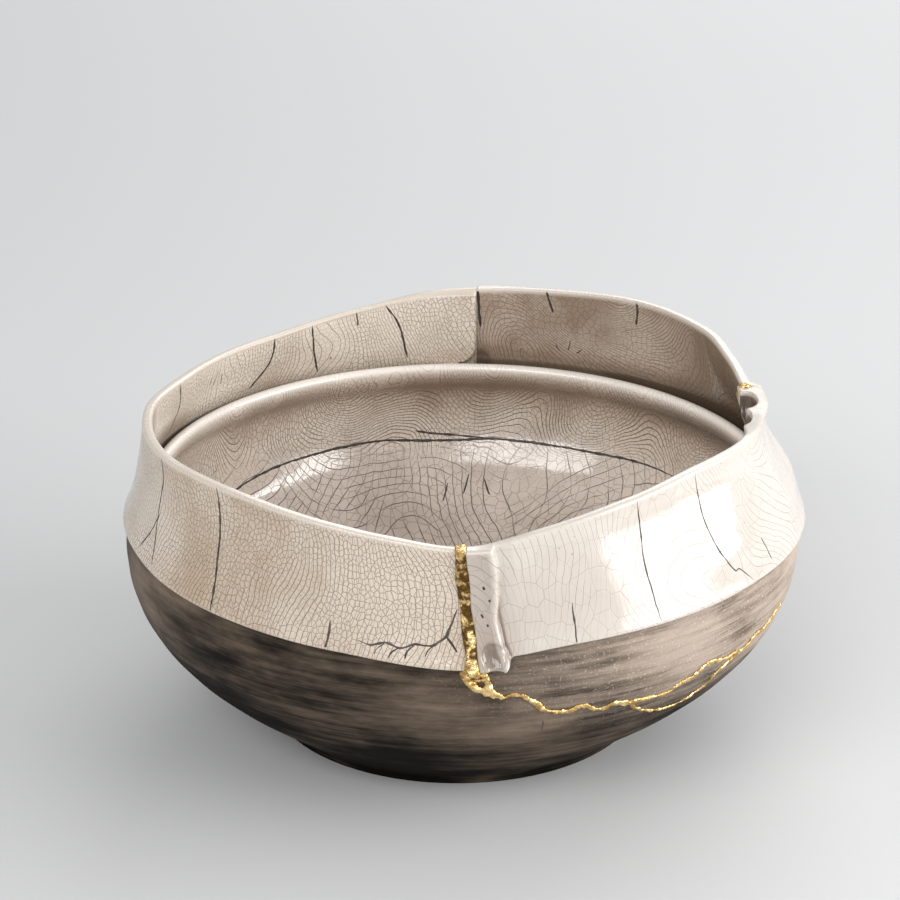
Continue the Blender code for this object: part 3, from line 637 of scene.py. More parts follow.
lining_piece, rows = spin("glazed_inside", lining_rows, 300, glaze_inside, 0.0004, 3.0, 0.07)
far = [0.0]
for (r0, z0), (r1, z1) in zip(lining_rows, lining_rows[1:]):
    far.append(far[-1] + math.hypot(r1 - r0, z1 - z0))
keep_numbers(lining_piece, "place", "FLOAT_VECTOR", [tuple(direction(a) * far[row]) for row, a in rows])
smoke_and_shade, bare_and_highlight, floor_share = [], [], []
ledge_top = max(range(len(lining_rows)), key=lambda row: lining_rows[row][1])
for row, angle in rows:
    height = lining_rows[row][1]
    # Painted shade: a darker band under the ledge, with sooty unevenness. The right side of the inside is also
    # darker, partly as painted shade, since it faces away from the softbox at the right.
    shade_under_ledge = bell(height - 0.112, 0.014)
    rightward = direction(angle).x
    # The groove behind the ledge is made dark: a dark joint, with painted shade.
    behind = 2.2 if row > ledge_top and height < LEDGE_HEIGHT - 0.5 * MM else 0.0
    smoke_and_shade.append(behind + 0.40 * rightward - 0.04
                 + shade_under_ledge * (1.10 + 0.25 * rightward + 0.5 * hand_wave(direction(angle), 0.6, 8.0)))
    # The pale band on the ledge's top: a paler rim with a painted highlight on it.
    bare_and_highlight.append(bell(height - LEDGE_HEIGHT + 0.0012, 0.0042) if row <= ledge_top + 2 else 0.0)
    floor_edge = 0.092 + 0.006 * math.sin(math.radians(3 * angle))
    floor_share.append(ease((floor_edge - height) / 0.022))
for name, values in (("smoke_and_shade", smoke_and_shade), ("bare_and_highlight", bare_and_highlight), ("floor", floor_share)):
    keep_numbers(lining_piece, name, "FLOAT", values)

outside = [(BELLY_RADIUS - WALL / 2, LEDGE_HEIGHT - 1.9 * GROOVE_DEPTH), (BELLY_RADIUS - WALL / 7, 0.1035)]
outside += [(belly_radius(h), h) for h in (FOOT_HEIGHT + (BELLY_HEIGHT - FOOT_HEIGHT) * (1 - s / 64) ** 1.35
                                           for s in range(65))]
groove_out = FOOT_RADIUS - FOOT_RING_WIDTH
groove_in = groove_out - FOOT_GROOVE_WIDTH
outside += [
    (FOOT_RADIUS + 0.8 * MM, FOOT_HEIGHT * 0.9), (FOOT_RADIUS + 0.2 * MM, FOOT_HEIGHT * 0.6),
    (FOOT_RADIUS, FOOT_HEIGHT / 3), (FOOT_RADIUS - 0.4 * MM, 0.4 * MM), (FOOT_RADIUS - MM, 0.0),
    (groove_out, 0.0), (groove_out - FOOT_GROOVE_DEPTH, FOOT_GROOVE_DEPTH),
    (groove_in + FOOT_GROOVE_DEPTH, FOOT_GROOVE_DEPTH), (groove_in, 0.0),
]
inner_face = [(radius + 0.0002, height - 0.0002) for radius, height in hidden]
clay_rows = [(0.0, 0.0070)] + inner_face[::-1] + outside + [(0.0, 0.0)]
clay_piece, _ = spin("smoked_clay_wall", clay_rows, 300, clay, 0.0004, 11.0, 0.09)
print("lining", len(lining_piece.data.polygons), "faces, clay wall", len(clay_piece.data.polygons))

# %% [markdown]
# Three joints give the collar its character. In front, a slab's end is doubled back over itself beside the
# seam, with a thumb's scoop at its foot. At the right, an end is rolled inwards over two hollows that open
# inwards, swells out a little at the rim and ends at a narrow parting. At the back, one end laps inside the
# other. All three are written as how far the slab's faces stand out or in, by the distance along the slab
# from the joint.

# %% The three joints
FRONT_JOINT, SIDE_JOINT, BACK_JOINT = -90.0, 6.0, 87.0
FRONT_LEAN, FRONT_LEAN_START, FRONT_LEAN_REACH = 0.0062, -0.0016, 20.0
SEAM_WIDTH, SEAM_DEPTH, SEAM_SWAY = 0.0052, 0.003, 0.12
FOLD_WIDTH, FOLD_LIFT_AT_SEAM, FOLD_LIFT_AT_RIDGE, FOLD_ROUND = 0.0160, 0.0024, 0.0050, 0.0026
FOLD_GROOVE, FOLD_GROOVE_REACH = 0.0007, 0.008
SCOOP_ACROSS, SCOOP_UP, SCOOP_DEPTH = 0.0058, 0.0066, 0.0030
SCOOP_FROM_SEAM, SCOOP_ABOVE_EDGE = 0.0100, 0.0062
NOTCH_WIDTH, NOTCH_DEPTH = 0.0058, 0.022
SLOT_WIDTH, SLOT_LENGTH, SLOT_DEPTH, SLOT_WEB = 0.0048, 0.026, 0.011, 0.004
SLOT_FROM_NOTCH, SLOT_INNER_WALL = 0.004, 0.0024
ROLL_BACK, ROLL_SWELL, ROLL_SWELL_DOWN, ROLL_EASE, ROLL_TAPER = 0.0085, 0.0040, 0.024, 0.014, 0.45
ROLL_LENGTH = NOTCH_WIDTH / 2 + SLOT_FROM_NOTCH + 2 * SLOT_LENGTH + SLOT_WEB
SIDE_LIFT = 0.0010
LAP_IN, LAP_OUT, LAP_LENGTH, LAP_ROUND, LAP_CORNER = 0.0040, 0.0030, 0.022, 0.0022, 0.009


def fold_lift(along):
    half = SEAM_WIDTH / 2
    if along <= half:
        return FOLD_LIFT_AT_SEAM * ease((along + half) / SEAM_WIDTH)
    if along < FOLD_WIDTH:
        share = (along - half) / (FOLD_WIDTH - half)
        lift = FOLD_LIFT_AT_SEAM + (FOLD_LIFT_AT_RIDGE - FOLD_LIFT_AT_SEAM) * share**1.6
        round_off = max(along - (FOLD_WIDTH - FOLD_ROUND), 0.0) / FOLD_ROUND
        return lift * math.sqrt(max(1 - round_off**2, 0.0))
    share = (along - FOLD_WIDTH) / FOLD_GROOVE_REACH
    return -FOLD_GROOVE * math.sin(math.pi * min(share, 1.0) ** 0.5)


FOLD_SWAY = (-0.5, 0.9, 0.2, -1.6, -0.9, 0.8)


def fold_along(along, share):
    """The distance from the seam, counted as if the fold's ridge ran straight down. It sways by FOLD_SWAY mm."""
    spot = min(max(share, 0.0), 1.0) * (len(FOLD_SWAY) - 1)
    here = min(int(spot), len(FOLD_SWAY) - 2)
    part = ease(spot - here)
    sway = MM * (FOLD_SWAY[here] * (1 - part) + FOLD_SWAY[here + 1] * part)
    return along - sway * ease((along - 0.004) / 0.008)


def rounded_end(distance, radius):
    return math.sqrt(max(1 - max(1 - max(distance, 0.0) / radius, 0.0) ** 2, 0.0))


def leaning(angle, share):
    reach = bell(wrap(angle - FRONT_JOINT), FRONT_LEAN_REACH)
    share = min(max(share, 0.0), 1.0)
    return angle + reach * degrees_along(FRONT_LEAN_START + FRONT_LEAN * share**1.3, COLLAR_EDGE_RADIUS)


def seam_half(share):
    """Half the seam's width, which sways a little on its way down."""
    return SEAM_WIDTH / 2 * (1 + SEAM_SWAY * math.sin(2.3 * (1.75 + share / 0.16)))


def scoop_hollow(along, above_edge):
    across, up = (along - SCOOP_FROM_SEAM) / SCOOP_ACROSS, (above_edge - SCOOP_ABOVE_EDGE) / SCOOP_UP
    reach = across**2 + up**2
    return SCOOP_DEPTH * math.sqrt(max(1 - reach, 0.0)) + 0.0004 * math.exp(-reach * 1.4)


def slot_hollow(along, across):
    """How deep the roll's top is cut, by the distance before the side joint and in from the outer face."""
    deepest = 0.0
    middle = NOTCH_WIDTH / 2 + SLOT_FROM_NOTCH + SLOT_LENGTH / 2
    for _ in range(2):
        inward = max((ROLL_BACK + ROLL_SWELL - SLOT_INNER_WALL - across) / SLOT_WIDTH, 0.0)
        reach = (abs(along - middle) / (SLOT_LENGTH / 2)) ** 2.6 + inward**2
        deepest = max(deepest, SLOT_DEPTH * ease((1.12 - reach) / 0.9))
        middle += SLOT_LENGTH + SLOT_WEB
    return deepest


print("the roll is", round(ROLL_LENGTH / MM, 1), "mm long")

# %% [markdown]
# Each slab is then a row of upright sections. A section is a closed ring of points: up the outer face, over the
# rim, down the inner face and back under. The rows stand closer together near a joint, where the form turns
# quickly, and further apart in between, which keeps the mesh light.

# %% One slab's section
OUTSIDE_ROWS, RIM_ROWS, INSIDE_ROWS = 44, 30, 34


def lifts(angle, side):
    """What the joints add to the two faces at this angle, for the slab on this side of the back lap."""
    front = math.radians(wrap(angle - FRONT_JOINT)) * COLLAR_EDGE_RADIUS
    roll_at = math.radians(wrap(SIDE_JOINT - angle)) * RIM_RADIUS
    back = math.radians(wrap(angle - BACK_JOINT)) * RIM_RADIUS
    outer = SIDE_LIFT * bell(roll_at, ROLL_EASE)
    if abs(front) < 3 * FOLD_WIDTH:
        outer += fold_lift(front)
    if side == "right" and -2 * LAP_LENGTH < back <= 0:
        outer += LAP_OUT * rounded_end(-back, LAP_ROUND) * (1 - ease(-back / (2 * LAP_LENGTH)))
    roll = 0.0
    if -NOTCH_WIDTH < roll_at < ROLL_LENGTH + ROLL_EASE:
        roll = (ROLL_BACK - SLAB) * ease((roll_at + NOTCH_WIDTH) / NOTCH_WIDTH)
        roll *= 1 - ease((roll_at - ROLL_LENGTH) / ROLL_EASE)
    return outer, roll, front, roll_at, back


def roll_swell(roll_at, down):
    """How far the rolled end swells outwards, by the distance from the joint and down from the rim."""
    along = ease((roll_at + 0.012) / 0.014) * (1 - ease((roll_at - 0.018) / 0.030))
    return ROLL_SWELL * along * (1 - ease(down / ROLL_SWELL_DOWN))


def slab_ring(angle, side):
    """The ring's points, with each one's place on the slab and how thinly glazed its edge is."""
    rim_radius, rim_height = rim_place(angle)
    edge_radius, edge_height = edge_place(angle)
    outer, roll, front, roll_at, back = lifts(angle, side)
    tall = rim_height - edge_height
    ring, places, bare_and_highlight = [], [], []
    run = math.radians(angle) * COLLAR_EDGE_RADIUS

    def add(radius, height, bareness, up):
        share = (rim_height - height) / tall
        point = at(leaning(angle, share), radius, height)
        ring.append(point)
        places.append((run, up, 0.0))
        bare_and_highlight.append(bareness)

    def seam_dip(share):
        return SEAM_DEPTH * ease((seam_half(share) + 0.00025 - abs(front)) / 0.0005)

    def fold_shift(share):
        return fold_lift(fold_along(front, share)) - fold_lift(front) if 0 < front < 3 * FOLD_WIDTH else 0.0

    def outer_face(height):
        share = (rim_height - height) / tall
        wave = 0.0005 * (hand_wave(direction(angle) + Vector((0, 0, height / 0.12)), 0.28, 21.0) - 0.7)
        hollow = scoop_hollow(front, height - edge_height) if abs(front) < 2 * FOLD_WIDTH else 0.0
        swell = roll_swell(roll_at, max(rim_height - height, 0.0))
        raised = flare(angle, height) + outer + wave + swell + fold_shift(share)
        return raised - SKIN - hollow - seam_dip(share)

    for step, turn in enumerate((-90, -60, -30, 0)):
        turn = math.radians(turn)
        height = edge_height + EDGE_ROUND * (1 + math.sin(turn))
        radius = outer_face(edge_height + EDGE_ROUND) - EDGE_ROUND * (1 - math.cos(turn))
        add(radius, height, 0.55 - 0.1 * step, height)
    for step in range(1, OUTSIDE_ROWS + 1):
        height = edge_height + EDGE_ROUND + (tall - EDGE_ROUND - RIM_ROUND) * step / OUTSIDE_ROWS
        near_rim = ease((height - rim_height + 1.1 * RIM_ROUND) * 4 / RIM_ROUND)
        add(outer_face(height), height, 0.9 * near_rim, height)
    start = outer_face(rim_height - RIM_ROUND)
    width = SLAB + outer + roll - SKIN + roll_swell(roll_at, RIM_ROUND)
    width += fold_shift(RIM_ROUND / tall)
    power = 4 * max(width / SLAB, 1.0)
    open_cut = slot_hollow(roll_at, width) if roll > 0 else 0.0
    for step in range(1, RIM_ROWS):
        across = step / RIM_ROWS
        drop = RIM_ROUND * (1 - math.sqrt(1 - abs(2 * across - 1) ** power))
        cut = slot_hollow(roll_at, across * width) if roll > 0 else 0.0
        height = rim_height - SKIN - drop - cut - 0.9 * seam_dip(0.0)
        add(start - across * width, height, 0.95 if cut < 0.5 * MM else 0.0, rim_height + across * width)
    bottom = LEDGE_HEIGHT - 0.9 * GROOVE_DEPTH
    for step in range(INSIDE_ROWS + 1):
        share = step / INSIDE_ROWS
        height = rim_height - RIM_ROUND + (bottom - rim_height + RIM_ROUND) * share
        height -= open_cut * (1 - share) ** 2
        inward = SLAB + roll * (1 - ROLL_TAPER * share)
        if side == "left" and 0 <= back < 2 * LAP_LENGTH:
            above_ledge = max(LAP_CORNER - max(height - LEDGE_HEIGHT, 0.0), 0.0)
            corner = LAP_CORNER - math.sqrt(LAP_CORNER**2 - above_ledge**2)
            inward += LAP_IN * rounded_end(back - corner, LAP_ROUND) * (1 - ease(back / (2 * LAP_LENGTH)))
        wave = 0.0004 * hand_wave(direction(angle) + Vector((0, 0, height / 0.12)), 0.25, 33.0)
        add(flare(angle, height) - inward + wave * ease(4 * share) * ease(4 - 4 * share), height,
            0.9 * ease(1 - (rim_height - RIM_ROUND - height) * 2 / RIM_ROUND), 0.45 - height)
    for radius, height in (
        (BELLY_RADIUS - 0.85 * WALL, BELLY_HEIGHT + WALL),
        (BELLY_RADIUS - WALL / 2, edge_height + 3 * EDGE_ROUND),
        (BELLY_RADIUS, edge_height + EDGE_ROUND / 2),
    ):
        add(radius, height, 0.0, 0.45 - height)
    return ring, places, bare_and_highlight


print("a section has", len(slab_ring(0.0, "right")[0]), "points")

# %% [markdown]
# The slabs were cut a little short of each other, and gold or another slab covers each gap. At the side joint
# the two ends part a little at the rim, under a patch of gold, and close lower down, so the sections there are
# pushed aside by less and less towards the foot of the parting.

# %% Build the three slabs
def slab_angles(start, end, joints):
    """Angles for the sections: about 1.3 mm apart, and 0.4 mm near a joint."""
    angles = [start]
    while angles[-1] < end:
        near = min(abs(wrap(angles[-1] - joint)) for joint in joints)
        step = 0.13 if near < 7.5 else 0.2 if near < 9 else 0.45
        angles.append(angles[-1] + step)
    angles[-1] = end
    return angles


def notch_push(angle, height):
    """How far to turn a point aside from the side joint, in degrees, so that its ends part at the rim."""
    away = wrap(angle - SIDE_JOINT)
    deep = rim_place(SIDE_JOINT)[1] - height
    if abs(away) > 5 or deep > NOTCH_DEPTH:
        return 0.0
    half = NOTCH_WIDTH / 5 * (1 - max(deep, 0.0) / NOTCH_DEPTH)
    side = 1.0 if away > 0 else -1.0
    return side * degrees_along(half, RIM_RADIUS) * (1 - abs(away) / 5)


def build_slab(name, start, end, side, finish, smoke_and_shade_at):
    points, places, bare_and_highlight = [], [], []
    angles = slab_angles(start, end, (FRONT_JOINT, SIDE_JOINT if side == "right" else BACK_JOINT))
    for angle in angles:
        ring, where, bareness = slab_ring(angle, side)
        for point in ring:
            turn = notch_push(angle, point.z)
            if turn:
                flat = Vector((point.x - lean(point.z), point.y, 0.0))
                flat.rotate(direction(0).rotation_difference(direction(turn)))
                point.x, point.y = flat.x + lean(point.z), flat.y
            points.append(point)
        places += where
        bare_and_highlight += bareness
    size = len(ring)
    faces = band_faces(len(angles), size, False)
    faces.append(tuple(range(size)))
    faces.append(tuple(range(len(points) - 1, len(points) - size - 1, -1)))
    piece = make_piece(name, points, faces, finish)
    keep_numbers(piece, "place", "FLOAT_VECTOR", places)
    keep_numbers(piece, "bare_and_highlight", "FLOAT", bare_and_highlight)
    keep_numbers(piece, "smoke_and_shade", "FLOAT", [smoke_and_shade_at(place, point) for place, point in zip(places, points)])
    return piece


def inner_smoke_and_shade(angle, height, base, low):
    """More by the ledge, beside the back lap, right of it under the roll, and in the roll's hollows: sooty stain
    together with painted shade in the groove and the corner at the ledge, in the hollows, and on the back right
    slab's inner face, which turns away from the softbox at the right.
    """
    rim_height = rim_place(angle)[1]
    from_back, from_ledge = wrap(angle - BACK_JOINT), height - LEDGE_HEIGHT
    by_lap = ease((from_back + 72) / 12) * ease((-24 - from_back) / 9)
    # The groove along the ledge: a dark joint, with painted shade.
    gap = bell(from_ledge, 0.0014) * (0.5 + 1.7 * by_lap)
    smoke_and_shade = base + low * bell(from_ledge, 0.009) + gap * ease(-from_back / 2)
    # Painted shade in the corner where the back lap meets the ledge.
    smoke_and_shade += 2.4 * bell(from_back + 1.0, 1.2) * bell(from_ledge, 0.006)
    smoke_and_shade += 1.2 * bell(from_back - 2.2, 1.6) * bell(height - rim_height, 0.006)
    # Darker on the back right slab's inner face: soot, with painted shade, as it turns away from the softbox at
    # the right.
    smoke_and_shade += 0.7 * ease((-30 - from_back) / 26) * ease((from_back + 80) / 2)
    roll_at = math.radians(wrap(SIDE_JOINT - angle)) * RIM_RADIUS
    # Darker deep in the roll's hollows: painted shade, with soot.
    if 0 < roll_at < ROLL_LENGTH:
        in_hollow = ease((slot_hollow(roll_at, 1.0) - 0.001) / 0.003)
        smoke_and_shade += 2.4 * in_hollow * bell(height - rim_height + SLOT_DEPTH, 0.006)
    return smoke_and_shade


def outer_smoke_and_shade(angle, height, base):
    """More on the fold, sooty with painted shade in the thumb's scoop, and a painted shadow along the ridge's far
    side.
    """
    along = math.radians(wrap(angle - FRONT_JOINT)) * COLLAR_EDGE_RADIUS
    if not 0 < along < 2 * FOLD_WIDTH:
        return base
    rim_height, edge_height = rim_place(angle)[1], edge_place(angle)[1]
    above_edge = height - edge_height
    across, up = (along - SCOOP_FROM_SEAM) / SCOOP_ACROSS, (above_edge - SCOOP_ABOVE_EDGE) / SCOOP_UP
    along = fold_along(along, 1 - above_edge / (rim_height - edge_height))
    smoke_and_shade = base + 1.05 * ease((FOLD_WIDTH - 0.0022 - along) / 0.002)
    # Darker in the thumb's scoop: soot with painted shade.
    smoke_and_shade += 0.55 * math.exp(-(math.hypot(across, up) ** 4))
    # A painted shadow in the groove beyond the fold's ridge.
    shadow_beyond_ridge = bell(along - FOLD_WIDTH - 0.0008, 0.0015)
    return smoke_and_shade + 1.7 * shadow_beyond_ridge * ease((rim_height - height - 0.008) / 0.03)


def lying_smoke_and_shade(outer, base, low):
    """Soot stains and painted shade on the outer face, on the inner face and by the ledge, and painted shade with
    soot, darker with depth, in what is cut into the rim.
    """
    def smoke_and_shade_at(place, point):
        angle = math.degrees(place[0] / COLLAR_EDGE_RADIUS)
        rim_height = rim_place(angle)[1]
        if place[1] > 0.25:
            return inner_smoke_and_shade(angle, point.z, base, low)
        if place[1] > rim_height:
            # Painted shade: darker the deeper a point lies in the cuts in the rim, with some soot.
            depth = rim_height - point.z - RIM_ROUND * 0.6
            return 2.1 * ease(depth / 0.0016) + 1.2 * ease((depth - 0.004) / 0.004)
        return outer_smoke_and_shade(angle, point.z, outer)
    return smoke_and_shade_at


TINY = 0.03
left_slab = build_slab("slab_left", BACK_JOINT + TINY, 270.0 - TINY, "left", glaze_left,
                       lying_smoke_and_shade(0.70, -0.40, 0.8))
right_slab = build_slab("slab_front_right", FRONT_JOINT + TINY, SIDE_JOINT - TINY, "right", glaze_right,
                        lying_smoke_and_shade(0.06, 0.30, 0.5))
# Its inner base of 0.66 makes the back right slab's inner face darker, partly as painted shade.
back_slab = build_slab("slab_back_right", SIDE_JOINT + TINY, BACK_JOINT - TINY, "right", glaze_back,
                       lying_smoke_and_shade(0.0, 0.66, 0.7))
print("slabs:", [(piece.name, len(piece.data.polygons)) for piece in (left_slab, right_slab, back_slab)])

# %% [markdown]
# The gold was trowelled in while soft, so it swells and pinches and has no straight edge. Its pieces are laid
# as simple bars and beads, melted into one lump by a voxel remesh, and then roughened with noise. Melting saves
# the work of joining their many ends by hand, and leaves one closed mesh.

# %% Gold tools
GOLD_PROUD, GOLD_BANK = 0.0004, 0.0016
DEGREE_MM = 2.8


def on_belly(angle, height):
    step = 0.5 * MM
    rise = (belly_radius(height + step) - belly_radius(height - step)) / (2 * step)
    up = (direction(angle) * rise + Vector((0, 0, 1))).normalized()
    normal = direction(angle + 90).cross(up).normalized()
    return at(angle, belly_radius(height), height), normal


def steps_along(apart, least):
    """Counts the places, this many mm apart, between two stations of degrees and mm."""
    return lambda a, b: max(least, round(math.hypot((b[0] - a[0]) * DEGREE_MM, b[1] - a[1]) / apart))


def smooth_route(stations, spacing):
    """Places every so many metres along a smooth curve through stations of any length of numbers."""
    route = []
    for index in range(len(stations) - 1):
        ends = [stations[min(max(index + step, 0), len(stations) - 1)] for step in (-1, 0, 1, 2)]
        steps = spacing(ends[1], ends[2])
        for step in range(steps):
            t = step / steps
            route.append(tuple(
                0.5 * (2 * b + (c - a) * t + (2 * a - 5 * b + 4 * c - d) * t**2
                       + (3 * b - a - 3 * c + d) * t**3)
                for a, b, c, d in zip(*ends)
            ))
    return route + [stations[-1]]


def join(tubes):
    points, faces = [], []
    for tube_points, tube_faces in tubes:
        faces += [tuple(index + len(points) for index in face) for face in tube_faces]
        points += tube_points
    return points, faces


def melt(name, tubes, voxel, rough, burnt):
    """Joins closed tubes into one lump, roughens it and gives it the gold finish."""
    points, faces = join(tubes)
    rough_piece = bpy.data.objects.new(name + "_lumps", bpy.data.meshes.new(name + "_lumps"))
    rough_piece.data.from_pydata([tuple(point) for point in points], [], faces)
    bpy.context.scene.collection.objects.link(rough_piece)
    remesh = rough_piece.modifiers.new("Melt", "REMESH")
    remesh.mode = "VOXEL"
    remesh.voxel_size = voxel
    bpy.context.view_layer.update()
    melted = rough_piece.evaluated_get(bpy.context.evaluated_depsgraph_get()).to_mesh()
    normals = [vertex.normal.copy() for vertex in melted.vertices]
    points = [vertex.co.copy() for vertex in melted.vertices]
    faces = [tuple(polygon.vertices) for polygon in melted.polygons]
    bpy.data.objects.remove(rough_piece)
    for index, (point, normal) in enumerate(zip(points, normals)):
        swell = rough * (hand_wave(point, 0.0032, 4.0) + 0.7 * hand_wave(point, 0.0014, 9.0) - 0.35)
        points[index] = point + normal * swell
    piece = make_piece(name, points, faces, gold)
    keep_numbers(piece, "burnt", "FLOAT", [burnt(point) for point in points])
    return piece


def tube(rings):
    size = len(rings[0])
    faces = band_faces(len(rings), size, False)
    faces.append(tuple(range(size)))
    faces.append(tuple(range(size * len(rings) - 1, size * (len(rings) - 1) - 1, -1)))
    return [point for ring in rings for point in ring], faces


print("places on a route of 3 stations:", len(smooth_route([(0, 0), (1, 1), (2, 0)], steps_along(1.0, 5))))

# %% [markdown]
# The line of gold on the belly follows the old break: down from the seam in a drop, then sideways in small
# zigzags, parting round a chip and joining again. Each route is a list of places on the belly, with the bead's
# width and height, and the bead is a flattened tube along it, thicker in places as a brush leaves it.

# %% Gold routes
DROP = ((-89.0, 103.0, 4.2, 4.4), (-89.9, 98.5, 3.4, 3.4), (-89.9, 94.2, 2.8, 2.2), (-88.8, 90.4, 3.2, 2.0),
        (-86.8, 87.0, 4.2, 1.8), (-84.0, 83.6, 2.8, 1.2))
DROP_BESIDE = ((-88.6, 102.0, 4.2, 4.2), (-87.2, 98.6, 3.2, 3.4), (-86.4, 94.8, 3.0, 2.4), (-86.2, 91.2, 3.2, 2.0),
               (-85.8, 87.6, 4.0, 1.8), (-84.7, 84.8, 3.2, 1.3))
DROP_BRIDGE = ((-89.8, 95.4, 2.4, 2.2), (-88.2, 93.6, 2.2, 1.8), (-86.6, 93.4, 2.6, 2.0))
SPLASH = ((-87.3, 95.5, 2.6, 3.0), (-86.4, 99.5, 2.0, 3.2), (-86.8, 103.5, 1.2, 3.6))
LINE = ((-84.6, 84.2, 3.2, 1.2), (-83.5, 82.9, 2.0, 1.0), (-82.5, 84.4, 1.5, 0.9), (-80.7, 83.4, 1.9, 1.0),
        (-79.4, 80.8, 2.0, 1.0), (-78.1, 78.0, 2.4, 1.1), (-77.2, 74.7, 2.6, 1.1), (-76.0, 73.0, 1.8, 1.0),
        (-72.7, 71.4, 1.9, 1.0), (-71.1, 73.0, 2.4, 1.1), (-69.5, 72.7, 2.5, 1.1), (-67.6, 69.6, 1.7, 1.0),
        (-65.8, 69.6, 1.9, 1.0), (-64.5, 71.2, 2.7, 1.1), (-62.0, 69.2, 2.6, 1.1), (-60.0, 68.8, 2.0, 1.0))
UPPER = ((-61.0, 69.2, 2.0, 1.0), (-57.1, 68.6, 1.6, 0.9), (-53.9, 68.0, 1.4, 0.9), (-51.6, 71.2, 1.5, 0.9),
         (-48.7, 73.0, 2.1, 1.0), (-45.5, 77.2, 2.2, 1.0), (-40.6, 74.5, 1.7, 0.9), (-37.8, 75.3, 2.0, 1.0))
LOWER = ((-61.5, 69.6, 1.8, 1.0), (-59.4, 63.5, 1.7, 0.9), (-55.5, 58.1, 1.5, 0.9), (-51.2, 55.4, 1.5, 0.9),
         (-47.9, 55.0, 1.6, 0.9), (-45.2, 58.0, 1.5, 0.9), (-42.9, 61.9, 1.6, 0.9), (-41.5, 67.8, 1.6, 0.9),
         (-37.7, 72.2, 1.8, 1.0))
END = ((-38.3, 74.2, 2.0, 1.0), (-36.5, 72.9, 2.0, 1.0), (-34.3, 73.8, 1.9, 1.0), (-31.6, 77.4, 2.4, 1.0),
       (-29.6, 77.1, 1.8, 0.9), (-26.9, 78.2, 1.9, 0.9), (-25.1, 80.4, 1.5, 0.8), (-21.0, 82.0, 0.9, 0.7))


def belly_bead(route, seed, spread):
    rings = []
    for angle, share, width, thick in smooth_route(route, steps_along(0.7, 3)):
        place, normal = on_belly(angle, share * BELLY_HEIGHT / 100)
        jitter = hand_wave(place, 0.0028, seed)
        width, thick = spread * width * MM * (1 + 0.5 * jitter), thick * MM * (1 + 0.35 * jitter)
        rings.append([place, normal, width, thick])
    tubes = []
    for index, (place, normal, width, thick) in enumerate(rings):
        before, after = rings[max(index - 1, 0)][0], rings[min(index + 1, len(rings) - 1)][0]
        across = normal.cross((after - before).normalized()).normalized()
        circle = []
        for step in range(10):
            turn = 2 * math.pi * step / 10
            circle.append(place + across * width / 2 * math.cos(turn) + normal * (thick * math.sin(turn)))
        tubes.append(circle)
    return tube(tubes)


def seam_gold():
    """The bar in the front seam, from over the rim down to the collar's edge."""
    _, rim_height = rim_place(FRONT_JOINT)
    _, edge_height = edge_place(FRONT_JOINT)
    tall = rim_height - edge_height
    rings = []
    for step in range(31):
        share = -0.006 + 1.05 * step / 30
        height = rim_height - tall * share
        radius = flare(FRONT_JOINT, max(min(height, rim_height), edge_height))
        middle = leaning(FRONT_JOINT, share)
        sway = hand_wave(Vector((0, 0, height)), 0.006, 2.0)
        half = (seam_half(max(share, 0.0)) + 0.0002) * (1 + 0.10 * sway)
        turn = degrees_along(half, radius)
        inner = radius - (SLAB + 0.0004 if height > rim_height - SEAM_DEPTH * 0.8 else SEAM_DEPTH * 0.9)
        left, right = radius + GOLD_PROUD, radius + GOLD_BANK + 0.0002 * sway
        rings.append([
            at(middle - turn, inner, height), at(middle - turn, left, height),
            at(middle - turn * 0.2, (left + right) / 2 + 0.0003, height),
            at(middle + turn, right, height), at(middle + turn, inner, height),
        ])
    return tube(rings)


DARK_HOLES = ((-88.6, 95.6, 1.5), (-87.2, 91.6, 1.3))


def burnt_share(point):
    """The seam's gold is burnt, the belly's is bright, and the drop has two dark holes."""
    share = 0.40 + 0.60 * ease((point.z - 0.098) / 0.008) * ease((0.1535 - point.z) / 0.002)
    for angle, height, size in DARK_HOLES:
        share += 5 * bell((point - on_belly(angle, height * MM)[0]).length, size * MM)
    return share


mend_routes = ((DROP, 1.1), (DROP_BESIDE, 1.1), (DROP_BRIDGE, 1.1), (SPLASH, 1.2),
               (LINE, 1.3), (UPPER, 1.5), (LOWER, 1.4), (END, 1.6))
beads = [belly_bead(route, 3.0 + index, spread) for index, (route, spread) in enumerate(mend_routes)]
front_gold = melt("gold_seam_and_line", [seam_gold()] + beads, 0.00042, 0.00046, burnt_share)
print("front gold:", len(front_gold.data.polygons), "faces")

# %% [markdown]
# At the right the joint is closed with gold too: a small patch that lies over the rim and hangs down inside. It
# is melted and roughened like the rest.

# %% Gold in the side notch
SIDE_PATCH = (
    (3.4, -0.7, 1.1), (4.8, 0.2, 2.4), (6.4, 0.5, 3.0), (8.0, -0.4, 3.0), (9.0, -3.0, 2.2), (8.8, -7.0, 0.9),
)


def side_gold():
    """The patch's stations are mm in from the outer face, mm above the rim and half the width in mm."""
    _, rim_height = rim_place(SIDE_JOINT)
    radius = flare(SIDE_JOINT, rim_height)
    out, across = direction(SIDE_JOINT), direction(SIDE_JOINT + 90)
    route = smooth_route(SIDE_PATCH, lambda a, b: 7)
    rings = []
    for index, (inward, up, half) in enumerate(route):
        before, after = route[max(index - 1, 0)], route[min(index + 1, len(route) - 1)]
        run = Vector((after[0] - before[0], after[1] - before[1])).normalized()
        normal = Vector((0, 0, 1)) * run.x + out * run.y
        middle = at(SIDE_JOINT, radius - inward * MM, rim_height + up * MM)
        rings.append([
            middle + across * half * MM * math.cos(turn) + normal * 1.2 * MM * math.sin(turn)
            for turn in (2 * math.pi * step / 12 for step in range(12))
        ])
    return tube(rings)


plug = melt("gold_in_notch", [side_gold()], 0.00035, 0.0004, lambda point: 0.35)
print("side gold:", len(plug.data.polygons), "faces")

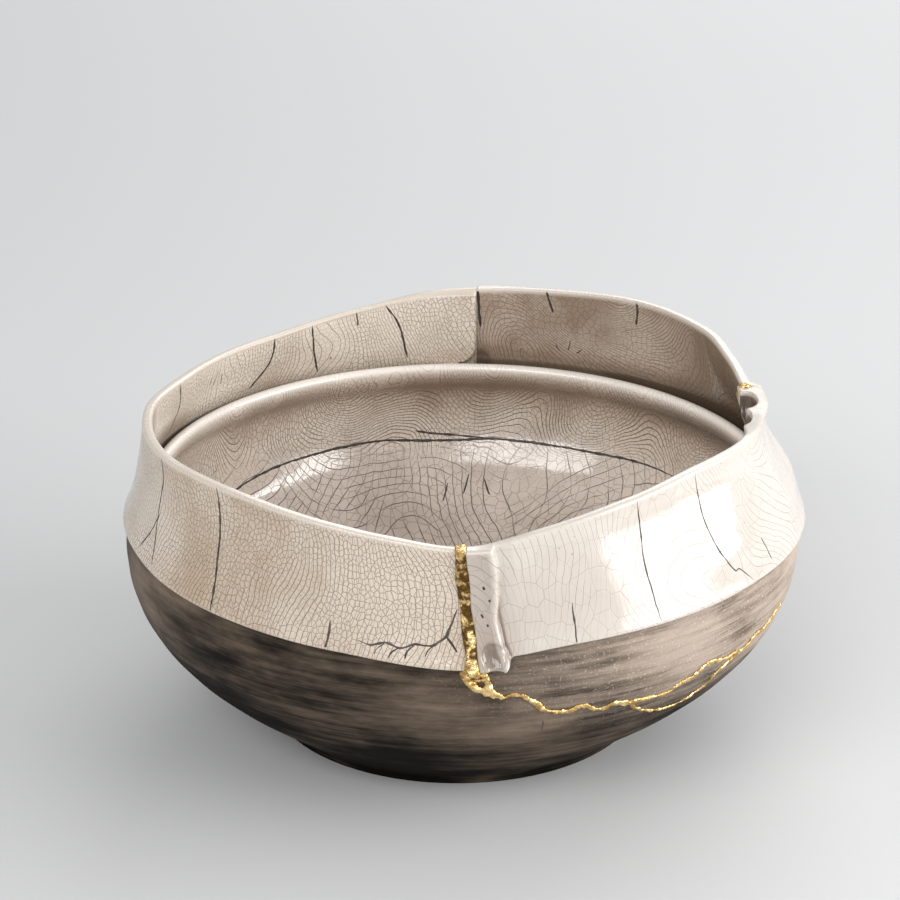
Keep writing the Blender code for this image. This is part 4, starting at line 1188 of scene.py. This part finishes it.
# %% [markdown]
# A few cracks are long and dark, because the clay itself parted a little and the smoke went deep. They could
# be painted in the glaze, but a line under a millimetre wide wants a sharp edge from any distance. So each is
# a thin inlay of carbon that follows the surface, found by casting a ray at the finished pieces.

# %% Tools for the long cracks
def tree_of(piece):
    mesh = piece.data
    return BVHTree.FromPolygons([v.co.copy() for v in mesh.vertices], [p.vertices[:] for p in mesh.polygons])


trees = {"left": tree_of(left_slab), "right": tree_of(right_slab), "back": tree_of(back_slab),
         "lining": tree_of(lining_piece), "clay": tree_of(clay_piece)}


def find_face(where, face, angle, height):
    """The point and outward normal of a piece's outer or inner face at an angle and height."""
    axis = Vector((lean(height), 0.0, height))
    out = direction(angle)
    start, toward = (axis + out * 0.25, -out) if face == "outer" else (axis, out)
    hit, normal, _, _ = trees[where].ray_cast(start, toward)
    if hit is None:
        return None
    return hit, normal if normal.dot(toward) < 0 else -normal


def inlay(found, width, seed):
    """A thin closed strip along found points and normals, with ragged sides and tapered ends."""
    rings = []
    count = len(found)
    for index, (place, normal) in enumerate(found):
        before, after = found[max(index - 1, 0)][0], found[min(index + 1, count - 1)][0]
        across = normal.cross((after - before).normalized()).normalized()
        end = min(index, count - 1 - index) / max(count * 0.16, 1.0)
        half = 1.3 * width * MM / 2 * min(1.0, 0.15 + end) * (1 + 0.6 * hand_wave(place, 0.003, seed))
        side = across * 0.25 * MM * hand_wave(place, 0.004, seed + 3)
        corners = ((-1.0, -0.00025), (1.0, -0.00025), (0.8, 0.00003), (-0.8, 0.00003))
        rings.append([place + side + across * half * share + normal * out for share, out in corners])
    return tube(rings)


def crack(where, face, stations, width, seed):
    found = []
    for angle, height in smooth_route(stations, steps_along(1.0, 4)):
        place = find_face(where, face, angle, height * MM)
        if place:
            found.append(place)
    return inlay(found, width, seed) if len(found) > 3 else None


print("trees for", sorted(trees))

# %% [markdown]
# The cracks' places are read off the bowl as degrees round it and millimetres up. Most run down the collar
# from rim to edge, one branches beside the seam, and two lie inside where the wall turns into the floor. Then
# come bunches of short marks: three for the crawls in the glaze, in a layout of their own, pinholes on the
# fold and specks on the rim.

# %% Lay the long cracks
CRACKS = (
    ("left", "outer", ((206.1, 163.5), (207.5, 152), (206.8, 141), (206.3, 125), (208.0, 110)), 0.9),
    ("left", "outer", ((207.3, 135), (204.3, 123), (201.1, 111)), 0.8),
    ("left", "outer", ((223.6, 163.5), (224.9, 152.7), (225.4, 141), (225.5, 124.5), (226.3, 106)), 1.2),
    ("left", "outer", ((248.6, 116.6), (248.6, 110), (248.3, 103.5)), 0.9),
    ("left", "outer", ((269.0, 126), (267.8, 117.7), (267.2, 113.8), (266.0, 111.2), (264.8, 109.6),
                       (262.5, 110.0), (260.2, 108.2), (257.8, 109.9), (255.5, 108.4), (253.4, 109.6)), 1.0),
    ("left", "outer", ((267.3, 113.6), (268.1, 111), (269.0, 107.0)), 0.9),
    ("left", "outer", ((266.0, 111.0), (264.6, 108), (264.1, 104.7)), 0.6),
    ("left", "outer", ((262.5, 109.8), (261.3, 107), (261.0, 103.6)), 0.7),
    ("left", "outer", ((260.0, 108.2), (258.9, 106), (258.5, 103.3)), 0.6),
    ("left", "outer", ((257.8, 109.6), (256.6, 107), (256.2, 104.6)), 0.5),
    ("right", "outer", ((-72.6, 125.8), (-72.4, 116), (-72.4, 107.8)), 0.8),
    ("right", "outer", ((-58.9, 167), (-58.7, 151.6), (-58.9, 138.3), (-58.3, 124.8), (-57.5, 110)), 0.65),
    ("right", "outer", ((-44.0, 167.5), (-44.1, 155), (-44.1, 146), (-42.9, 132.5), (-40.1, 120),
                        (-38.6, 119), (-35.6, 111)), 0.65),
    ("right", "outer", ((-30.4, 125.9), (-29.4, 119.5), (-28.8, 113.5)), 0.6),
    ("left", "inner", ((163.9, 156.5), (161.8, 140), (163.0, 127.5)), 0.9),
    ("left", "inner", ((131.9, 156.8), (132.3, 141), (136.0, 127.5)), 1.2),
    ("left", "inner", ((122.2, 157.5), (121.2, 142), (119.6, 127.5)), 1.0),
    ("left", "inner", ((111.8, 160), (111.4, 152)), 0.8),
    ("left", "inner", ((105.6, 162), (102.6, 149), (100.8, 129)), 1.1),
    ("back", "inner", ((86.7, 168), (86.5, 156.7), (86.2, 146)), 1.3),
    ("back", "inner", ((73.0, 169), (72.4, 163.6), (71.6, 157.0)), 1.1),
    ("back", "inner", ((54.2, 170), (53.9, 164), (54.2, 157.0)), 1.1),
    ("lining", "inner", ((150.0, 72.5), (140.1, 76.1), (131.7, 78.9), (121.9, 80.4), (113.9, 81.5), (106, 82.0),
                         (98.2, 80.5), (91.0, 80.2), (84.0, 81.3), (77.8, 81.0), (69.3, 80.4), (60.6, 80.1),
                         (51.3, 80.6), (40.0, 79.0)), 1.25),
    ("lining", "inner", ((99.2, 86.0), (96.1, 84.2), (90.1, 82.6), (84.0, 81.4)), 1.1),
    ("clay", "outer", ((-76.6, 67.0), (-76.3, 62.0), (-76.5, 57.5)), 0.5),
)
MARKS = (
    ("left", "inner", (148.0, 146.0),
     ((0.0, 4.0, 0.7, 9.0), (-1.6, 1.0, -0.6, 7.0), (1.9, 2.0, 0.3, 5.0)), 0.5),
    ("back", "inner", (68.0, 139.0),
     ((0.0, 3.0, 0.5, 6.0), (-2.4, -1.0, 1.2, 3.0), (3.1, 0.0, -1.0, 4.0)), 0.5),
    ("lining", "inner", (88.0, 60.0),
     ((0.0, 4.0, 1.0, 9.0), (-3.5, 2.0, -1.5, 7.0), (4.5, 0.0, 1.2, 8.0)), 0.8),
    ("right", "outer", (-87.0, 138.0),
     ((0.0, 0.0, 0.2, 1.6), (0.9, -6.0, 0.1, 1.2), (-0.3, -13.0, 0.3, 1.8), (0.6, -17.5, 0.1, 1.2)), 1.0),
    ("right", "outer", (-9.0, 168.0), ((0.0, 0.0, 0.3, 1.4), (3.0, 1.0, 0.5, 1.2)), 0.8),
)


def short_marks(where, face, middle, spots, width):
    """A bunch of short marks round a middle: each spot is degrees and millimetres away, tilt and length."""
    made = []
    for index, (turn, up, tilt, length) in enumerate(spots):
        angle, height = middle[0] + turn, middle[1] + up
        route = ((angle, height), (angle + tilt * 0.4, height - length * 0.5), (angle + tilt, height - length))
        made.append(crack(where, face, route, width, 40.0 + index))
    return made


laid = [crack(*entry, 1.0 + index) for index, entry in enumerate(CRACKS)]
for entry in MARKS:
    laid += short_marks(*entry)
points, faces = join(one for one in laid if one)
crack_piece = make_piece("carbon_in_long_cracks", points, faces, carbon)
print(sum(one is not None for one in laid), "cracks of", len(laid), "laid,", len(faces), "faces")

# %% [markdown]
# Now the new pieces stand for the solids. The bowl's own solid is one piece of clay, so the lining, the clay
# wall and the three slabs replace it together, and the two golds replace theirs.

# %% Stand in for the solids
for piece in (lining_piece, clay_piece, left_slab, right_slab, back_slab, crack_piece):
    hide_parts("bowl")
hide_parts("gold_seam_front")
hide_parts("gold_fill_side")

# %% [markdown]
# The studio: a pale floor that runs out of sight, a broad softbox at the right, a wide one high at the left
# beside the camera, and a third aimed at the floor behind. The softboxes' places follow from the
# reflections in the glaze: each highlight's surface direction and the camera's place say where its light must
# stand.

# %% Floor and lights
def pale_floor():
    finish, tree, shader = new_finish("pale floor", 0.7)
    shader.inputs["Base Color"].default_value = (0.60, 0.60, 0.60, 1.0)
    mesh = bpy.data.meshes.new("floor")
    reach = 12.0
    corners = [(-reach, -reach, 0), (reach, -reach, 0), (reach, reach, 0), (-reach, reach, 0)]
    mesh.from_pydata(corners, [], [(0, 1, 2, 3)])
    mesh.materials.append(finish)
    floor = bpy.data.objects.new("floor", mesh)
    bpy.context.scene.collection.objects.link(floor)
    return floor


def softbox(name, place, width, height, power, aim=(0.0, 0.0, 0.09)):
    lamp = bpy.data.lights.new(name, "AREA")
    lamp.shape = "RECTANGLE"
    lamp.size, lamp.size_y = width, height
    lamp.energy = power
    holder = bpy.data.objects.new(name, lamp)
    holder.location = place
    holder.rotation_euler = (Vector(aim) - Vector(place)).to_track_quat("-Z", "Y").to_euler()
    holder.visible_camera = False
    bpy.context.scene.collection.objects.link(holder)
    return holder


pale_floor()
softbox("softbox_right", (1.75, -0.42, 0.62), 1.80, 1.05, 40.0)
softbox("softbox_left", (-0.95, -1.75, 1.40), 2.1, 0.95, 31.0)
softbox("fill_behind", (1.4, 3.1, 1.9), 3.4, 1.5, 64.0, aim=(1.3, 2.0, 0.0))
world = bpy.data.worlds.new("studio")
world.use_nodes = True
world.node_tree.nodes["Background"].inputs["Color"].default_value = (0.92, 0.93, 0.95, 1.0)
world.node_tree.nodes["Background"].inputs["Strength"].default_value = 0.58
bpy.context.scene.world = world
bpy.context.scene.view_settings.view_transform = "Standard"
print("three softboxes and a pale world")

# %% [markdown]
# The camera stands a metre and a half away, 22 degrees above the table, with a long lens that keeps the bowl's
# circles calm. It was worked out from four circles of the real bowl.

# %% Camera
CAMERA_DISTANCE, CAMERA_ELEVATION, LENS = 1.5, 22.0, 120.72
LOOK_AT = Vector((-0.0032, 0.0, 0.1372))
camera = bpy.data.objects.new("camera", bpy.data.cameras.new("camera"))
camera.data.sensor_width = 36.0
camera.data.lens = LENS
tilt = math.radians(CAMERA_ELEVATION)
camera.location = LOOK_AT + Vector((0.0, -math.cos(tilt), math.sin(tilt))) * CAMERA_DISTANCE
camera.rotation_euler = (math.radians(90 - CAMERA_ELEVATION), 0.0, 0.0)
bpy.context.scene.collection.objects.link(camera)
bpy.context.scene.camera = camera
print("camera at", [round(part, 3) for part in camera.location])
